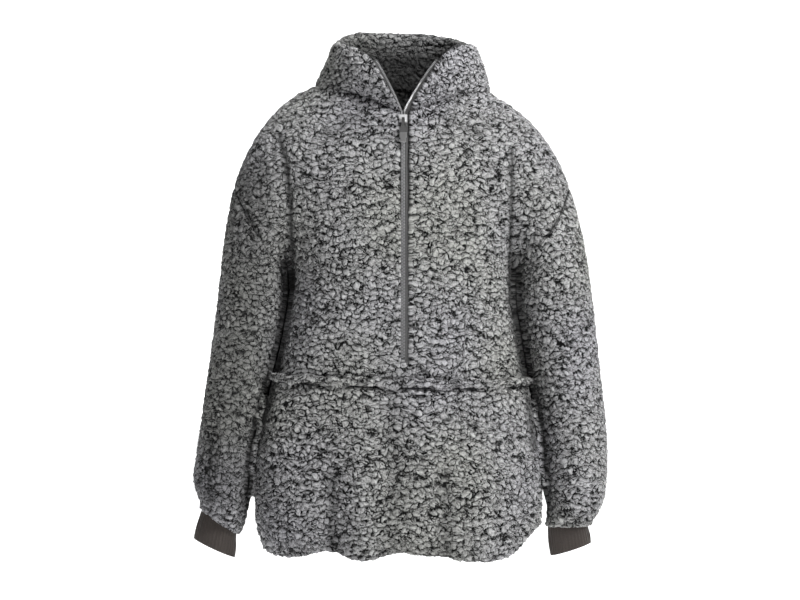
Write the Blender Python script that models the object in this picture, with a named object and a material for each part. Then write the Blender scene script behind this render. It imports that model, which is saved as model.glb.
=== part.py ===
# A half-zip sherpa pullover, filled out as it is worn and open at the neck, hem and cuffs.
# Metres, +Z up. The front faces -Y, and left and right are as seen from the front.
# The origin is in the middle of the neck, level with the sides of its seam.

import math

import bmesh
import bpy
import numpy as np
from mathutils import Matrix, Vector

MM = 0.001

# Cloths and seams
SEAM_GAP = 0.4 * MM
FLEECE_WALL = 8.5 * MM
CUFF_WALL = 2.6 * MM
TAPE_WALL = 1.2 * MM
PATCH_LIFT = 0.5 * MM
# Which way a seam's edge faces are split, the same for both pieces
SEAM_RULE = (0.05, 0.35, 0.93)
SEAM_SMOOTHING = 2
# A seam's end takes its neighbour's direction where the two agree less than this
SEAM_END_AGREES = 0.7
NORMAL_SMOOTHING = 3
# Rays in each fan that finds a seam
FAN_RAYS = 60

# Grid of the panels, in cells
SIDE_ROWS = 16
ARMHOLE_ROWS = 8
SHOULDER_COLUMNS = 5
NECK_COLUMNS = 7
POCKET_ROWS = 10
SLIT_ROWS_BELOW = 11

# Zip
SLIT_LEFT = -6.0 * MM
SLIT_RIGHT = 13.5 * MM
SLIT_END = -0.436
CHAIN_HALF = 2.9 * MM
CHAIN_WALL = 2.2 * MM
CHAIN_GAP = 0.25 * MM
TAPE_GAP = 0.5 * MM
TAPE_SEAT = 0.8 * MM
ZIP_STARTS = 0.04
CHAIN_STARTS = 4.2 * MM
STOP_SIZE = (5.4 * MM, 3.2 * MM, 2.8 * MM)
TAPE_DEPTH = 4.0 * MM

# Level sections of the body:
# height, left side, right side, depth of the front, depth of the back, squareness
BODY_SECTIONS = (
    (0.100, -0.116, 0.114, 0.074, 0.078, 2.1),
    (0.040, -0.124, 0.120, 0.076, 0.080, 2.1),
    (0.018, -0.140, 0.127, 0.083, 0.086, 2.1),
    (0.003, -0.173, 0.142, 0.090, 0.092, 2.1),
    (-0.012, -0.198, 0.171, 0.096, 0.097, 2.1),
    (-0.031, -0.212, 0.195, 0.103, 0.103, 2.1),
    (-0.058, -0.215, 0.207, 0.112, 0.110, 2.2),
    (-0.091, -0.213, 0.206, 0.121, 0.116, 2.2),
    (-0.157, -0.206, 0.203, 0.133, 0.122, 2.3),
    (-0.223, -0.196, 0.193, 0.138, 0.124, 2.3),
    (-0.289, -0.187, 0.183, 0.139, 0.124, 2.3),
    (-0.330, -0.184, 0.181, 0.139, 0.125, 2.3),
    (-0.388, -0.193, 0.189, 0.140, 0.127, 2.3),
    (-0.454, -0.209, 0.200, 0.142, 0.131, 2.3),
    (-0.520, -0.225, 0.211, 0.145, 0.136, 2.3),
    (-0.586, -0.238, 0.220, 0.149, 0.140, 2.3),
    (-0.652, -0.243, 0.226, 0.151, 0.142, 2.3),
    (-0.700, -0.242, 0.226, 0.149, 0.141, 2.3),
    (-0.728, -0.235, 0.218, 0.141, 0.134, 2.3),
    (-0.748, -0.221, 0.203, 0.127, 0.121, 2.3),
)

# Level sections of each arm, with the same columns. Above the armhole they run into the body.
LEFT_ARM_SECTIONS = (
    (-0.020, -0.165, -0.095, 0.035, 0.035, 2.1),
    (-0.031, -0.192, -0.070, 0.060, 0.058, 2.1),
    (-0.058, -0.230, -0.075, 0.078, 0.074, 2.1),
    (-0.091, -0.255, -0.090, 0.089, 0.084, 2.1),
    (-0.124, -0.271, -0.110, 0.094, 0.088, 2.2),
    (-0.157, -0.281, -0.130, 0.096, 0.090, 2.2),
    (-0.223, -0.293, -0.166, 0.095, 0.088, 2.2),
    (-0.289, -0.300, -0.192, 0.090, 0.083, 2.2),
    (-0.330, -0.305, -0.190, 0.088, 0.080, 2.2),
    (-0.388, -0.312, -0.199, 0.087, 0.072, 2.2),
    (-0.454, -0.321, -0.215, 0.087, 0.066, 2.2),
    (-0.520, -0.330, -0.231, 0.088, 0.059, 2.2),
    (-0.586, -0.339, -0.244, 0.090, 0.051, 2.2),
    (-0.652, -0.348, -0.249, 0.090, 0.040, 2.2),
    (-0.740, -0.345, -0.262, 0.080, 0.020, 2.2),
)
RIGHT_ARM_SECTIONS = (
    (-0.020, 0.090, 0.148, 0.035, 0.035, 2.1),
    (-0.031, 0.070, 0.175, 0.060, 0.058, 2.1),
    (-0.058, 0.075, 0.218, 0.078, 0.074, 2.1),
    (-0.091, 0.090, 0.244, 0.089, 0.084, 2.1),
    (-0.124, 0.110, 0.265, 0.094, 0.088, 2.2),
    (-0.157, 0.130, 0.277, 0.096, 0.090, 2.2),
    (-0.223, 0.166, 0.294, 0.095, 0.088, 2.2),
    (-0.289, 0.188, 0.306, 0.090, 0.083, 2.2),
    (-0.330, 0.187, 0.312, 0.088, 0.080, 2.2),
    (-0.388, 0.196, 0.318, 0.087, 0.072, 2.2),
    (-0.454, 0.207, 0.325, 0.087, 0.066, 2.2),
    (-0.520, 0.218, 0.332, 0.088, 0.059, 2.2),
    (-0.586, 0.227, 0.336, 0.090, 0.051, 2.2),
    (-0.652, 0.232, 0.333, 0.090, 0.040, 2.2),
    (-0.740, 0.238, 0.318, 0.080, 0.020, 2.2),
)
ARM_TOP = -0.016
ARM_BLEND = 0.034
LEAST_BLEND = 0.001
BLEND_STARTS = -0.300
BLEND_FULL = -0.215

# Rings of the sleeves: height of the centre, tilt in degrees (the outer side up is positive)
LEFT_RINGS = (
    (-0.213, 51), (-0.250, 47), (-0.283, 36), (-0.315, 26), (-0.346, 18), (-0.376, 12),
    (-0.406, 7), (-0.437, 4), (-0.468, 2), (-0.500, 2), (-0.532, 4), (-0.564, 7),
    (-0.594, 11), (-0.621, 16), (-0.645, 22), (-0.667, 28), (-0.685, 33), (-0.699, 34),
)
RIGHT_RINGS = (
    (-0.213, 51), (-0.250, 47), (-0.283, 36), (-0.315, 26), (-0.346, 18), (-0.376, 12),
    (-0.406, 7), (-0.437, 4), (-0.468, 2), (-0.500, 0), (-0.533, 0), (-0.566, 0),
    (-0.597, 0), (-0.626, 0), (-0.652, 0), (-0.674, 0), (-0.692, 1), (-0.706, 1),
)
# How far the armhole's plane bulges down the arm, and how fast that fades ring by ring
ARMHOLE_BULGE = 0.16
BULGE_FADES = 0.55
# The shoulder seam's fan starts at this share of the armhole's width, and at this height
SHOULDER_FAN = (0.72, -0.145)
# Where the underarms lie, across and in height
LEFT_UNDERARM = (-0.1895, -0.286)
RIGHT_UNDERARM = (0.1855, -0.286)
UNDERARM_LEAN = -0.2
# Which end of a seam lies at the underarm
UNDERARM_ENDS = {"side": -1, "front_armhole": 0, "back_armhole": 0}
# The ends of the sleeves draw in to the cuffs: share of the way, for the last rings
SLEEVE_DRAWS_IN = (0.0, 0.22, 0.68, 1.0)
SLEEVE_END_WALLS = (8.5 * MM, 8.0 * MM, 6.5 * MM, 5.0 * MM)

# Cuffs: centre x and z at the sleeve and at the open end, tilts, half width, half depth
CUFF_Y = -0.030
LEFT_CUFF = ((-0.300, -0.700), (-0.308, -0.741), 34, 25, 0.0350, 0.0200)
RIGHT_CUFF = ((0.2690, -0.706), (0.274, -0.743), 1, 18, 0.0330, 0.0200)
CUFF_SPREAD = 1.08
CUFF_TUCK = 7 * MM
CUFF_CLEAR = 0.3 * MM
CUFF_RIBS = 38
RIB_HEIGHT = 0.9 * MM
CUFF_TUCK_SPREAD = 0.93
CUFF_ROWS = (0.2, 0.93)
CUFF_ROW_SPREAD = 1.03
CUFF_END_RELIEF = 0.2
CUFF_LIP_THINNER = 0.4 * MM

# Neck seam: its heights at the front, the sides and the back, how its fan fills the curve,
# and the point above it that the collar's foot is drawn to
NECK_FRONT = -0.043
NECK_LEFT = 0.016
NECK_RIGHT = 0.004
NECK_BACK = 0.022
NECK_CURVE = 0.9
NECK_AIM = 0.1
COLLAR_SEAT = 0.6

# Hem: its height across the front, from the left side seam to the right one
HEM_FRONT_LINE = (
    (-0.232, -0.733),
    (-0.205, -0.741),
    (-0.180, -0.742),
    (-0.147, -0.736),
    (-0.114, -0.728),
    (-0.092, -0.738),
    (-0.070, -0.744),
    (-0.022, -0.737),
    (-0.005, -0.733),
    (0.027, -0.736),
    (0.060, -0.738),
    (0.091, -0.745),
    (0.118, -0.753),
    (0.147, -0.755),
    (0.168, -0.747),
    (0.186, -0.724),
    (0.200, -0.706),
    (0.216, -0.700),
)
HEM_BACK = -0.734

# Folds: face, from x and z, to x and z, width, height (a trough is negative)
FOLDS = (
    ("front", -0.204, -0.070, -0.188, -0.165, 0.017, -0.007),
    ("front", -0.188, -0.165, -0.184, -0.300, 0.017, -0.006),
    ("front", 0.180, -0.090, 0.183, -0.165, 0.017, -0.007),
    ("front", 0.183, -0.165, 0.178, -0.290, 0.017, -0.006),
    ("front", 0.110, -0.062, 0.178, -0.086, 0.014, -0.006),
    ("front", -0.145, -0.058, -0.200, -0.072, 0.014, -0.005),
    ("front", 0.225, -0.150, 0.275, -0.175, 0.014, -0.005),
    ("front", -0.015, -0.500, -0.010, -0.740, 0.030, -0.009),
    ("front", -0.114, -0.610, -0.112, -0.745, 0.020, -0.008),
    ("front", 0.070, -0.600, 0.068, -0.745, 0.020, -0.007),
    ("front", -0.062, -0.560, -0.060, -0.720, 0.032, 0.006),
    ("front", 0.110, -0.540, 0.105, -0.740, 0.036, 0.007),
    ("front", -0.190, -0.520, -0.180, -0.720, 0.030, 0.004),
    ("front", 0.120, -0.240, 0.040, -0.330, 0.022, 0.004),
    ("front", -0.130, -0.230, -0.050, -0.300, 0.022, 0.004),
    ("front", -0.308, -0.540, -0.312, -0.650, 0.011, -0.006),
    ("front", -0.282, -0.560, -0.284, -0.680, 0.016, 0.004),
    ("front", 0.300, -0.330, 0.235, -0.370, 0.014, -0.004),
    ("front", 0.318, -0.450, 0.250, -0.485, 0.014, -0.004),
    ("front", -0.300, -0.345, -0.230, -0.385, 0.014, -0.004),
    ("front", -0.310, -0.450, -0.245, -0.430, 0.014, -0.004),
    ("back", -0.195, -0.090, -0.176, -0.290, 0.018, -0.008),
    ("back", 0.192, -0.090, 0.172, -0.290, 0.018, -0.008),
    ("back", -0.120, -0.060, 0.120, -0.075, 0.022, 0.004),
    ("back", -0.080, -0.440, 0.060, -0.470, 0.024, -0.005),
    ("back", -0.110, -0.560, -0.120, -0.730, 0.026, -0.008),
    ("back", 0.020, -0.580, 0.016, -0.730, 0.026, -0.007),
    ("back", 0.125, -0.560, 0.130, -0.730, 0.024, -0.007),
    ("back", -0.050, -0.560, -0.050, -0.720, 0.032, 0.006),
    ("back", 0.075, -0.560, 0.075, -0.720, 0.032, 0.006),
    ("back", 0.300, -0.400, 0.235, -0.430, 0.014, -0.004),
    ("back", -0.300, -0.420, -0.235, -0.440, 0.014, -0.004),
)

# Collar: place of its crest across, front to back and in height, and how far its middle
# bulges out, from the right front tip round the back to the left front tip
COLLAR_CREST = (
    (0.0600, -0.116, 0.0375, 0.010),
    (0.0860, -0.100, 0.0550, 0.010),
    (0.1080, -0.054, 0.0660, 0.002),
    (0.1090, 0.004, 0.0740, -0.003),
    (0.0880, 0.056, 0.0930, -0.002),
    (0.0450, 0.083, 0.1050, 0.000),
    (0.0000, 0.089, 0.1070, 0.000),
    (-0.0450, 0.082, 0.1070, 0.000),
    (-0.0820, 0.056, 0.1040, -0.004),
    (-0.1040, 0.004, 0.0830, -0.006),
    (-0.1040, -0.054, 0.0690, -0.002),
    (-0.0800, -0.100, 0.0560, 0.010),
    (-0.0510, -0.116, 0.0380, 0.010),
)
COLLAR_LEVELS = (0.0, 0.25, 0.5, 0.75, 1.0)
COLLAR_HALF_WALL = 8.5 * MM
COLLAR_ROLL = 10.0 * MM
ROLL_ANGLES = (45, 90, 135)
FULL_WALL_AT = 0.45

# Pocket: its side edges, and the strips along its top and its hand openings
POCKET_EDGE = 2
POCKET_EDGE_WALL = 0.75
POCKET_TOP_LEFT = -0.470
POCKET_TOP_MIDDLE = -0.477
POCKET_TOP_RIGHT = -0.480
BAND_PLACE = (0.6 * MM, 15.0 * MM)
BAND_LIFT = 1.4 * MM
BAND_HEIGHT = 12.0 * MM
OPENING_ROWS = (3, 10)
EDGE_PLACE = (0.03, 0.60)
EDGE_HEIGHT = 12.0 * MM
# Section of a strip: share of the way in from its edge, and share of its height
WELT_SHOULDER = (0.05, 0.6)
WELT_TOP = (0.6, 1.0)

# Slider and pull
SLIDER_AT = -0.0515
PLATE_LIFT = 1.6 * MM
STEM_IN = -2.7 * MM
PIN_OUT = 6.8 * MM
PIN_DOWN = 1.5 * MM
EAR_APART = 3.3 * MM
EAR_SIZE = (1.3 * MM, 4.0 * MM)
EAR_OVER_PIN = 1.2 * MM
STEM_SIZE = (3.6 * MM, 7.0 * MM)
JOIN_DEPTH = 0.5 * MM
EYE_RADIUS = 2.1 * MM
EYE_CLEAR = 0.8 * MM
BORE_CLEAR = 0.35 * MM
TIP_TAPE = 6.0 * MM
SLIDER_WIDTH = 13.0 * MM
SLIDER_HEIGHT = 13.0 * MM
SLIDER_PLATE = 2.6 * MM
PIN_RADIUS = 0.9 * MM
PULL_WIDTH = 11.5 * MM
PULL_END_WIDTH = PULL_WIDTH - 2 * MM
PULL_WALL = 2.0 * MM
PULL_TAB_WALL = PULL_WALL + 0.4 * MM
PULL_TAB = 19.0 * MM
PULL_END = 9.0 * MM
PULL_LINK = 13.0 * MM
PULL_LINK_IN = 0.4 * MM
PULL_JOIN = 1.0 * MM
BLOCK_EDGE = 0.18
ROD_SIDES = 14

# Colours
FLEECE_GREY = (0.235, 0.235, 0.238)
RIB_BROWN = (0.090, 0.080, 0.074)
TAPE_GREY = (0.200, 0.195, 0.190)
SILVER = (0.720, 0.720, 0.730)


# Reading the section tables

def rows_at(table, heights):
    """The columns of a section table at any heights, on a smooth curve through its rows."""
    rows = np.array(table)[::-1]
    levels, values = rows[:, 0], rows[:, 1:]
    slopes = np.gradient(values, levels, axis=0)
    heights = np.clip(heights, levels[0], levels[-1])
    low = np.clip(np.searchsorted(levels, heights, side="right") - 1, 0, len(levels) - 2)
    step = levels[low + 1] - levels[low]
    t = ((heights - levels[low]) / step)[:, None]
    step = step[:, None]
    return (
        (2 * t**3 - 3 * t**2 + 1) * values[low]
        + (t**3 - 2 * t**2 + t) * step * slopes[low]
        + (3 * t**2 - 2 * t**3) * values[low + 1]
        + (t**3 - t**2) * step * slopes[low + 1]
    )


def stack_field(table, points):
    """Roughly how far points lie outside a stack of rounded level sections."""
    left, right, front, back, power = rows_at(table, points[:, 2]).T
    half = (right - left) / 2
    depth = np.where(points[:, 1] < 0, front, back)
    across = np.abs(points[:, 0] - (left + right) / 2) / half
    out = np.abs(points[:, 1]) / depth
    return ((across**power + out**power) ** (1 / power) - 1) * np.minimum(half, (front + back) / 2)


def left_arm_field(points):
    return np.maximum(stack_field(LEFT_ARM_SECTIONS, points), points[:, 2] - ARM_TOP)


def right_arm_field(points):
    return np.maximum(stack_field(RIGHT_ARM_SECTIONS, points), points[:, 2] - ARM_TOP)


def blended(first, second, width):
    share = np.clip(0.5 + 0.5 * (second - first) / width, 0, 1)
    return second * (1 - share) + first * share - width * share * (1 - share)


def garment_field(points):
    """The whole form: the body with both arms run softly into it above the armholes."""
    climb = np.clip((points[:, 2] - BLEND_STARTS) / (BLEND_FULL - BLEND_STARTS), 0, 1)
    width = LEAST_BLEND + ARM_BLEND * climb**2 * (3 - 2 * climb)
    field = stack_field(BODY_SECTIONS, points)
    arms = np.minimum(left_arm_field(points), right_arm_field(points))
    joined = blended(field, arms, width)
    return np.where(climb > 0, joined, field)


# Points on the form

def unit(vectors):
    return vectors / np.maximum(np.linalg.norm(vectors, axis=-1, keepdims=True), 1e-12)


def slope(field, points):
    step = 1e-4
    return np.stack([
        (field(points + step * axis) - field(points - step * axis)) / (2 * step)
        for axis in np.eye(3)
    ], axis=-1)


def outward(field, points):
    return unit(slope(field, points))


def onto(field, points, rounds=6):
    """Points moved along the slope of the form until they lie on it."""
    points = points.copy()
    for _ in range(rounds):
        grade = slope(field, points)
        size = np.maximum((grade**2).sum(axis=-1, keepdims=True), 0.05)
        points -= np.clip(field(points)[:, None] / size, -0.02, 0.02) * grade
    return points


def cast(field, starts, directions, reach=0.26, steps=130):
    """Where rays from inside the form first leave it."""
    lengths = np.linspace(0, reach, steps)
    places = starts[:, None, :] + lengths[None, :, None] * directions[:, None, :]
    values = field(places.reshape(-1, 3)).reshape(len(starts), steps)
    first = np.argmax(values > 0, axis=1)
    near, far = lengths[np.maximum(first - 1, 0)], lengths[first]
    for _ in range(24):
        middle = (near + far) / 2
        outside = field(starts + middle[:, None] * directions) > 0
        far = np.where(outside, middle, far)
        near = np.where(outside, near, middle)
    return starts + far[:, None] * directions


def evenly(points, cells):
    """A line of points with equal steps along it."""
    along = np.concatenate([[0], np.cumsum(np.linalg.norm(np.diff(points, axis=0), axis=1))])
    wanted = np.linspace(0, along[-1], cells + 1)
    return np.stack([np.interp(wanted, along, points[:, axis]) for axis in range(3)], axis=1)


def fold_height(points):
    """How far the folds lift or sink the cloth at points."""
    total = np.zeros(len(points))
    for face, x0, z0, x1, z1, width, height in FOLDS:
        start, run = np.array([x0, z0]), np.array([x1 - x0, z1 - z0])
        offset = points[:, [0, 2]] - start
        t = np.clip(offset @ run / (run @ run), 0, 1)
        gap = np.linalg.norm(offset - t[:, None] * run, axis=1)
        side = -points[:, 1] if face == "front" else points[:, 1]
        shown = np.clip((side - 0.005) / 0.035, 0, 1)
        total += height * np.exp(-((gap / width) ** 2)) * shown
    return total


# Seams: a line of points with the cloth's normals and the direction across it

class Seam:
    def __init__(self, points, normals):
        self.points = points
        for _ in range(SEAM_SMOOTHING):
            normals[1:-1] = unit(normals[:-2] + 2 * normals[1:-1] + normals[2:])
        self.normals = normals
        run = np.gradient(points, axis=0)
        self.across = unit(np.cross(normals, run))
        for end, beside in ((0, 1), (-1, -2)):
            if self.across[end] @ self.across[beside] < SEAM_END_AGREES:
                self.across[end] = self.across[beside]


def make_seam(name, points):
    """A seam on the whole form. At the underarm its cloth faces down, into the crevice."""
    normals = outward(garment_field, points)
    if name in UNDERARM_ENDS:
        end = UNDERARM_ENDS[name]
        normals[end] = unit(np.array([-UNDERARM_LEAN * np.sign(points[end, 0]), 0.0, -1.0]))
    return Seam(points, normals)


def arm_ring(field, centre, tilt, side, cells, bulge=0.0, underarm=None):
    """Points round an arm, from its outer side over the front, in a tilted plane."""
    turn = math.radians(tilt)
    out = np.array([side * math.cos(turn), 0, math.sin(turn)])
    down = np.array([side * math.sin(turn), 0, -math.cos(turn)])
    angles = np.linspace(0, 2 * math.pi, cells, endpoint=False)[:, None]
    inner = -out if underarm is None else unit(underarm - centre)
    way = np.where(np.cos(angles) > 0, out, -inner)
    rays = np.cos(angles) * way + np.sin(angles) * np.array([0, -1, 0])
    rays = unit(rays + bulge * np.sin(angles) ** 2 * down)
    return cast(field, np.repeat(centre[None], cells, axis=0), rays)


def arm_centre(table, height):
    left, right, front, back, _ = rows_at(table, np.array([height]))[0]
    return np.array([(left + right) / 2, (back - front) / 2, height])


def armhole(side):
    table, rings = (LEFT_ARM_SECTIONS, LEFT_RINGS) if side < 0 else (RIGHT_ARM_SECTIONS, RIGHT_RINGS)
    height, tilt = rings[0]
    left, right = rows_at(table, np.array([height]))[0][:2]
    centre = np.array([(left + right) / 2, 0, height])
    x, z = LEFT_UNDERARM if side < 0 else RIGHT_UNDERARM
    around = 2 * ARMHOLE_ROWS
    return arm_ring(garment_field, centre, tilt, side, around, ARMHOLE_BULGE, np.array([x, 0, z]))


def hem_height(x, y):
    """The hem's height by its place round the body."""
    across, heights = np.array(HEM_FRONT_LINE).T
    side = np.where(x < 0, heights[0], heights[-1])
    turn = np.arctan2(np.abs(x), np.abs(y) + 1e-9) / (math.pi / 2)
    back = HEM_BACK + (side - HEM_BACK) * turn**4
    return np.where(y < 0, np.interp(x, across, heights), back)


def hem_line(side, facing, inner_x, cells):
    """Half of the hem, from the side seam to the middle of the front or back."""
    angles = np.linspace(math.pi / 2, 0, FAN_RAYS)
    rays = np.stack([side * np.sin(angles), facing * np.cos(angles), 0 * angles], axis=1)
    starts = np.tile([0.0, 0.0, HEM_BACK], (FAN_RAYS, 1))
    for _ in range(3):
        hits = cast(garment_field, starts, rays)
        starts[:, 2] = hem_height(hits[:, 0], hits[:, 1])
    hits = cast(garment_field, starts, rays)
    keep = side * hits[:, 0] > side * inner_x
    line = hits[keep]
    end = line[-1].copy()
    end[0] = inner_x
    end[2] = hem_height(end[0], end[1])
    return evenly(np.vstack([line, end]), cells)


def neck_line(side, facing, inner_x, cells):
    """Half of the neck seam, from its side to the middle of the front or back."""
    level = NECK_LEFT if side < 0 else NECK_RIGHT
    middle = NECK_FRONT if facing < 0 else NECK_BACK
    angles = np.linspace(math.pi / 2, 0, FAN_RAYS)
    share = (1 - np.sin(angles)) ** NECK_CURVE
    rays = np.stack([side * np.sin(angles), facing * np.cos(angles), 0 * angles], axis=1)
    starts = np.stack([0 * angles, 0 * angles, level + (middle - level) * share], axis=1)
    hits = cast(garment_field, starts, rays)
    line = hits[side * hits[:, 0] > side * inner_x]
    end = line[-1].copy()
    end[0] = inner_x
    return evenly(np.vstack([line, end]), cells)


def shoulder_line(top_of_armhole, side_of_neck, cells):
    """The seam along the top of the shoulder."""
    start = np.array([SHOULDER_FAN[0] * top_of_armhole[0], 0.0, SHOULDER_FAN[1]])
    reach = np.stack([top_of_armhole - start, side_of_neck - start])
    angles = np.arctan2(reach[:, 2], np.abs(reach[:, 0]) * np.sign(reach[:, 0] * start[0]))
    fan = np.linspace(angles[0], angles[1], 50)
    rays = np.stack([np.sign(start[0]) * np.cos(fan), 0 * fan, np.sin(fan)], axis=1)
    line = cast(garment_field, np.repeat(start[None], 50, axis=0), rays)
    line[0], line[-1] = top_of_armhole, side_of_neck
    return evenly(line, cells)


def side_line(side, bottom, top, cells):
    """The side seam, from the hem up to the underarm."""
    level = POCKET_TOP_LEFT if side < 0 else POCKET_TOP_RIGHT
    heights = np.concatenate([
        np.linspace(bottom[2], level, POCKET_ROWS + 1)[1:],
        np.linspace(level, top[2], cells - POCKET_ROWS + 1)[1:-1],
    ])
    columns = rows_at(BODY_SECTIONS, heights)
    x = columns[:, 0] if side < 0 else columns[:, 1]
    return np.vstack([bottom, np.stack([x, 0 * x, heights], axis=1), top])


def pocket_line(side, start, end, cells):
    """The line along the pocket's top, from the side seam to the middle."""
    angles = np.linspace(math.pi / 2, 0, FAN_RAYS)
    rays = np.stack([side * np.sin(angles), -np.cos(angles), 0 * angles], axis=1)
    levels = np.linspace(start[2], end[2], FAN_RAYS)
    hits = cast(garment_field, np.stack([0 * levels, 0 * levels, levels], axis=1), rays)
    keep = side * hits[1:, 0] > side * end[0]
    return evenly(np.vstack([start, hits[1:][keep], end]), cells)


def patch(bottom, top, outer, inner):
    """A grid between four lines that share their corners: rows go up, columns from outer to inner."""
    u = np.linspace(0, 1, len(bottom))[None, :, None]
    v = np.linspace(0, 1, len(outer))[:, None, None]
    ruled = (1 - v) * bottom[None] + v * top[None] + (1 - u) * outer[:, None] + u * inner[:, None]
    corners = (
        (1 - u) * (1 - v) * bottom[0] + u * (1 - v) * bottom[-1]
        + (1 - u) * v * top[0] + u * v * top[-1]
    )
    return ruled - corners


def settle(field, grid, rounds=70):
    """The inner points of a grid spread evenly over the form."""
    grid = grid.copy()
    rows, columns = grid.shape[:2]
    for _ in range(rounds):
        middle = (grid[:-2, 1:-1] + grid[2:, 1:-1] + grid[1:-1, :-2] + grid[1:-1, 2:]) / 4
        grid[1:-1, 1:-1] = onto(field, middle.reshape(-1, 3), 2).reshape(rows - 2, columns - 2, 3)
    return grid


# Solids

def principled(name, colour, roughness, metallic=0.0):
    material = bpy.data.materials.new(name)
    material.use_nodes = True
    shader = material.node_tree.nodes["Principled BSDF"]
    shader.inputs["Base Color"].default_value = (*colour, 1.0)
    shader.inputs["Roughness"].default_value = roughness
    shader.inputs["Metallic"].default_value = metallic
    return material


def add_object(name, mesh, material, collection):
    thing = bpy.data.objects.new(name, mesh)
    thing.data.materials.append(material)
    thing.data.shade_smooth()
    thing.data.set_sharp_from_angle(angle=math.radians(40))
    collection.objects.link(thing)
    return thing


def leads(start, end):
    """Whether a seam's edge face is split from its start, by a rule that both pieces share."""
    return float((start - end) @ SEAM_RULE) > 0


def wall(name, outer, inner, material, collection, closed=False, open_cells=()):
    """A cloth wall between an outer and an inner grid of points, closed all round its edges."""
    rows, columns = outer.shape[:2]
    inner_base = rows * columns
    points = np.vstack([outer.reshape(-1, 3), inner.reshape(-1, 3)])
    cells = [
        (row, column)
        for row in range(rows - 1)
        for column in range(columns if closed else columns - 1)
        if (row, column) not in open_cells
    ]
    faces, edges = [], {}
    for row, column in cells:
        right = (column + 1) % columns
        a, b = row * columns + column, row * columns + right
        c, d = a + columns, b + columns
        faces += [(a, b, d), (a, d, c)]
        faces += [(inner_base + a, inner_base + d, inner_base + b)]
        faces += [(inner_base + a, inner_base + c, inner_base + d)]
        for edge in ((a, b), (b, d), (d, c), (c, a)):
            key = tuple(sorted(edge))
            edges[key] = None if key in edges else edge
    for edge in edges.values():
        if edge is not None:
            start, end = edge
            if leads(points[start], points[end]):
                faces += [(start, inner_base + start, inner_base + end)]
                faces += [(start, inner_base + end, end)]
            else:
                faces += [(start, inner_base + start, end)]
                faces += [(inner_base + start, inner_base + end, end)]
    a, b, c = (points[i] for i in faces[0])
    if np.dot(np.cross(b - a, c - a), a - points[inner_base + faces[0][0]]) < 0:
        faces = [face[::-1] for face in faces]
    used = sorted({i for face in faces for i in face})
    place = {old: new for new, old in enumerate(used)}
    mesh = bpy.data.meshes.new(name)
    mesh.from_pydata(points[used].tolist(), [], [tuple(place[i] for i in face) for face in faces])
    return add_object(name, mesh, material, collection)


def loft(name, loops, material, collection):
    """A solid through loops of points, closed at both ends."""
    count, size = loops.shape[:2]
    faces = []
    for station in range(count - 1):
        for i in range(size):
            a, b = station * size + i, station * size + (i + 1) % size
            c, d = a + size, b + size
            following = loops[station + 1, (i + 1) % size]
            if leads(following, loops[station, (i + 1) % size]):
                faces += [(a, b, d), (a, d, c)]
            else:
                faces += [(a, b, c), (b, d, c)]
    faces.append(tuple(range(size))[::-1])
    faces.append(tuple(range((count - 1) * size, count * size)))
    mesh = bpy.data.meshes.new(name)
    mesh.from_pydata(loops.reshape(-1, 3).tolist(), [], faces)
    work = bmesh.new()
    work.from_mesh(mesh)
    bmesh.ops.recalc_face_normals(work, faces=work.faces)
    bmesh.ops.triangulate(work, faces=[face for face in work.faces if len(face.verts) > 3])
    work.to_mesh(mesh)
    work.free()
    return add_object(name, mesh, material, collection)


class Panel:
    """A grid on the form with its wall: seams pull its edges in, and folds move its points."""

    def __init__(self, field, grid, thickness):
        rows, columns = grid.shape[:2]
        flat = grid.reshape(-1, 3)
        self.normals = outward(field, flat).reshape(rows, columns, 3)
        self.outer = grid.copy()
        self.thickness = np.full((rows, columns, 1), thickness)

    def pull_in(self, edge, beside, seam):
        """Moves one edge half a seam gap towards the grid line beside it."""
        line, inward = self.outer[edge], self.outer[beside]
        into = np.sign(((inward - line) * seam.across).sum(axis=-1).mean())
        self.outer[edge] = line + into * seam.across * SEAM_GAP / 2
        self.normals[edge] = seam.normals

    def finish(self):
        """Evens out the normals inside the edges, then adds the folds and the inner face."""
        rows, columns = self.outer.shape[:2]
        for _ in range(NORMAL_SMOOTHING):
            near = self.normals[:-2, 1:-1] + self.normals[2:, 1:-1]
            near += self.normals[1:-1, :-2] + self.normals[1:-1, 2:]
            self.normals[1:-1, 1:-1] = unit(near + 2 * self.normals[1:-1, 1:-1])
        lift = fold_height(self.outer.reshape(-1, 3)).reshape(rows, columns, 1)
        self.outer += lift * self.normals
        self.inner = self.outer - self.thickness * self.normals


def clear_scene():
    for thing in list(bpy.data.objects):
        bpy.data.objects.remove(thing, do_unlink=True)


def seams_of(side):
    """The seam lines of one side of the garment, made once and shared by the pieces."""
    ring = armhole(side)
    half = ARMHOLE_ROWS
    front_ring = ring[:half + 1][::-1]
    back_ring = np.vstack([ring[half:], ring[:1]])
    underarm, top = ring[half], ring[0]
    inner_x = SLIT_LEFT if side < 0 else SLIT_RIGHT
    hem_front = hem_line(side, -1, inner_x, SHOULDER_COLUMNS + NECK_COLUMNS)
    hem_back = hem_line(side, 1, 0.0, SHOULDER_COLUMNS + NECK_COLUMNS)
    hem_back[0] = hem_front[0]
    neck_front = neck_line(side, -1, inner_x, NECK_COLUMNS)
    neck_back = neck_line(side, 1, 0.0, NECK_COLUMNS)
    neck_back[0] = neck_front[0]
    shoulder = shoulder_line(top, neck_front[0], SHOULDER_COLUMNS)
    sides = side_line(side, hem_front[0], underarm, SIDE_ROWS)
    return {
        "side": sides, "front_armhole": front_ring, "back_armhole": back_ring,
        "shoulder": shoulder, "neck_front": neck_front, "neck_back": neck_back,
        "hem_front": hem_front, "hem_back": hem_back,
    }


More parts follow.
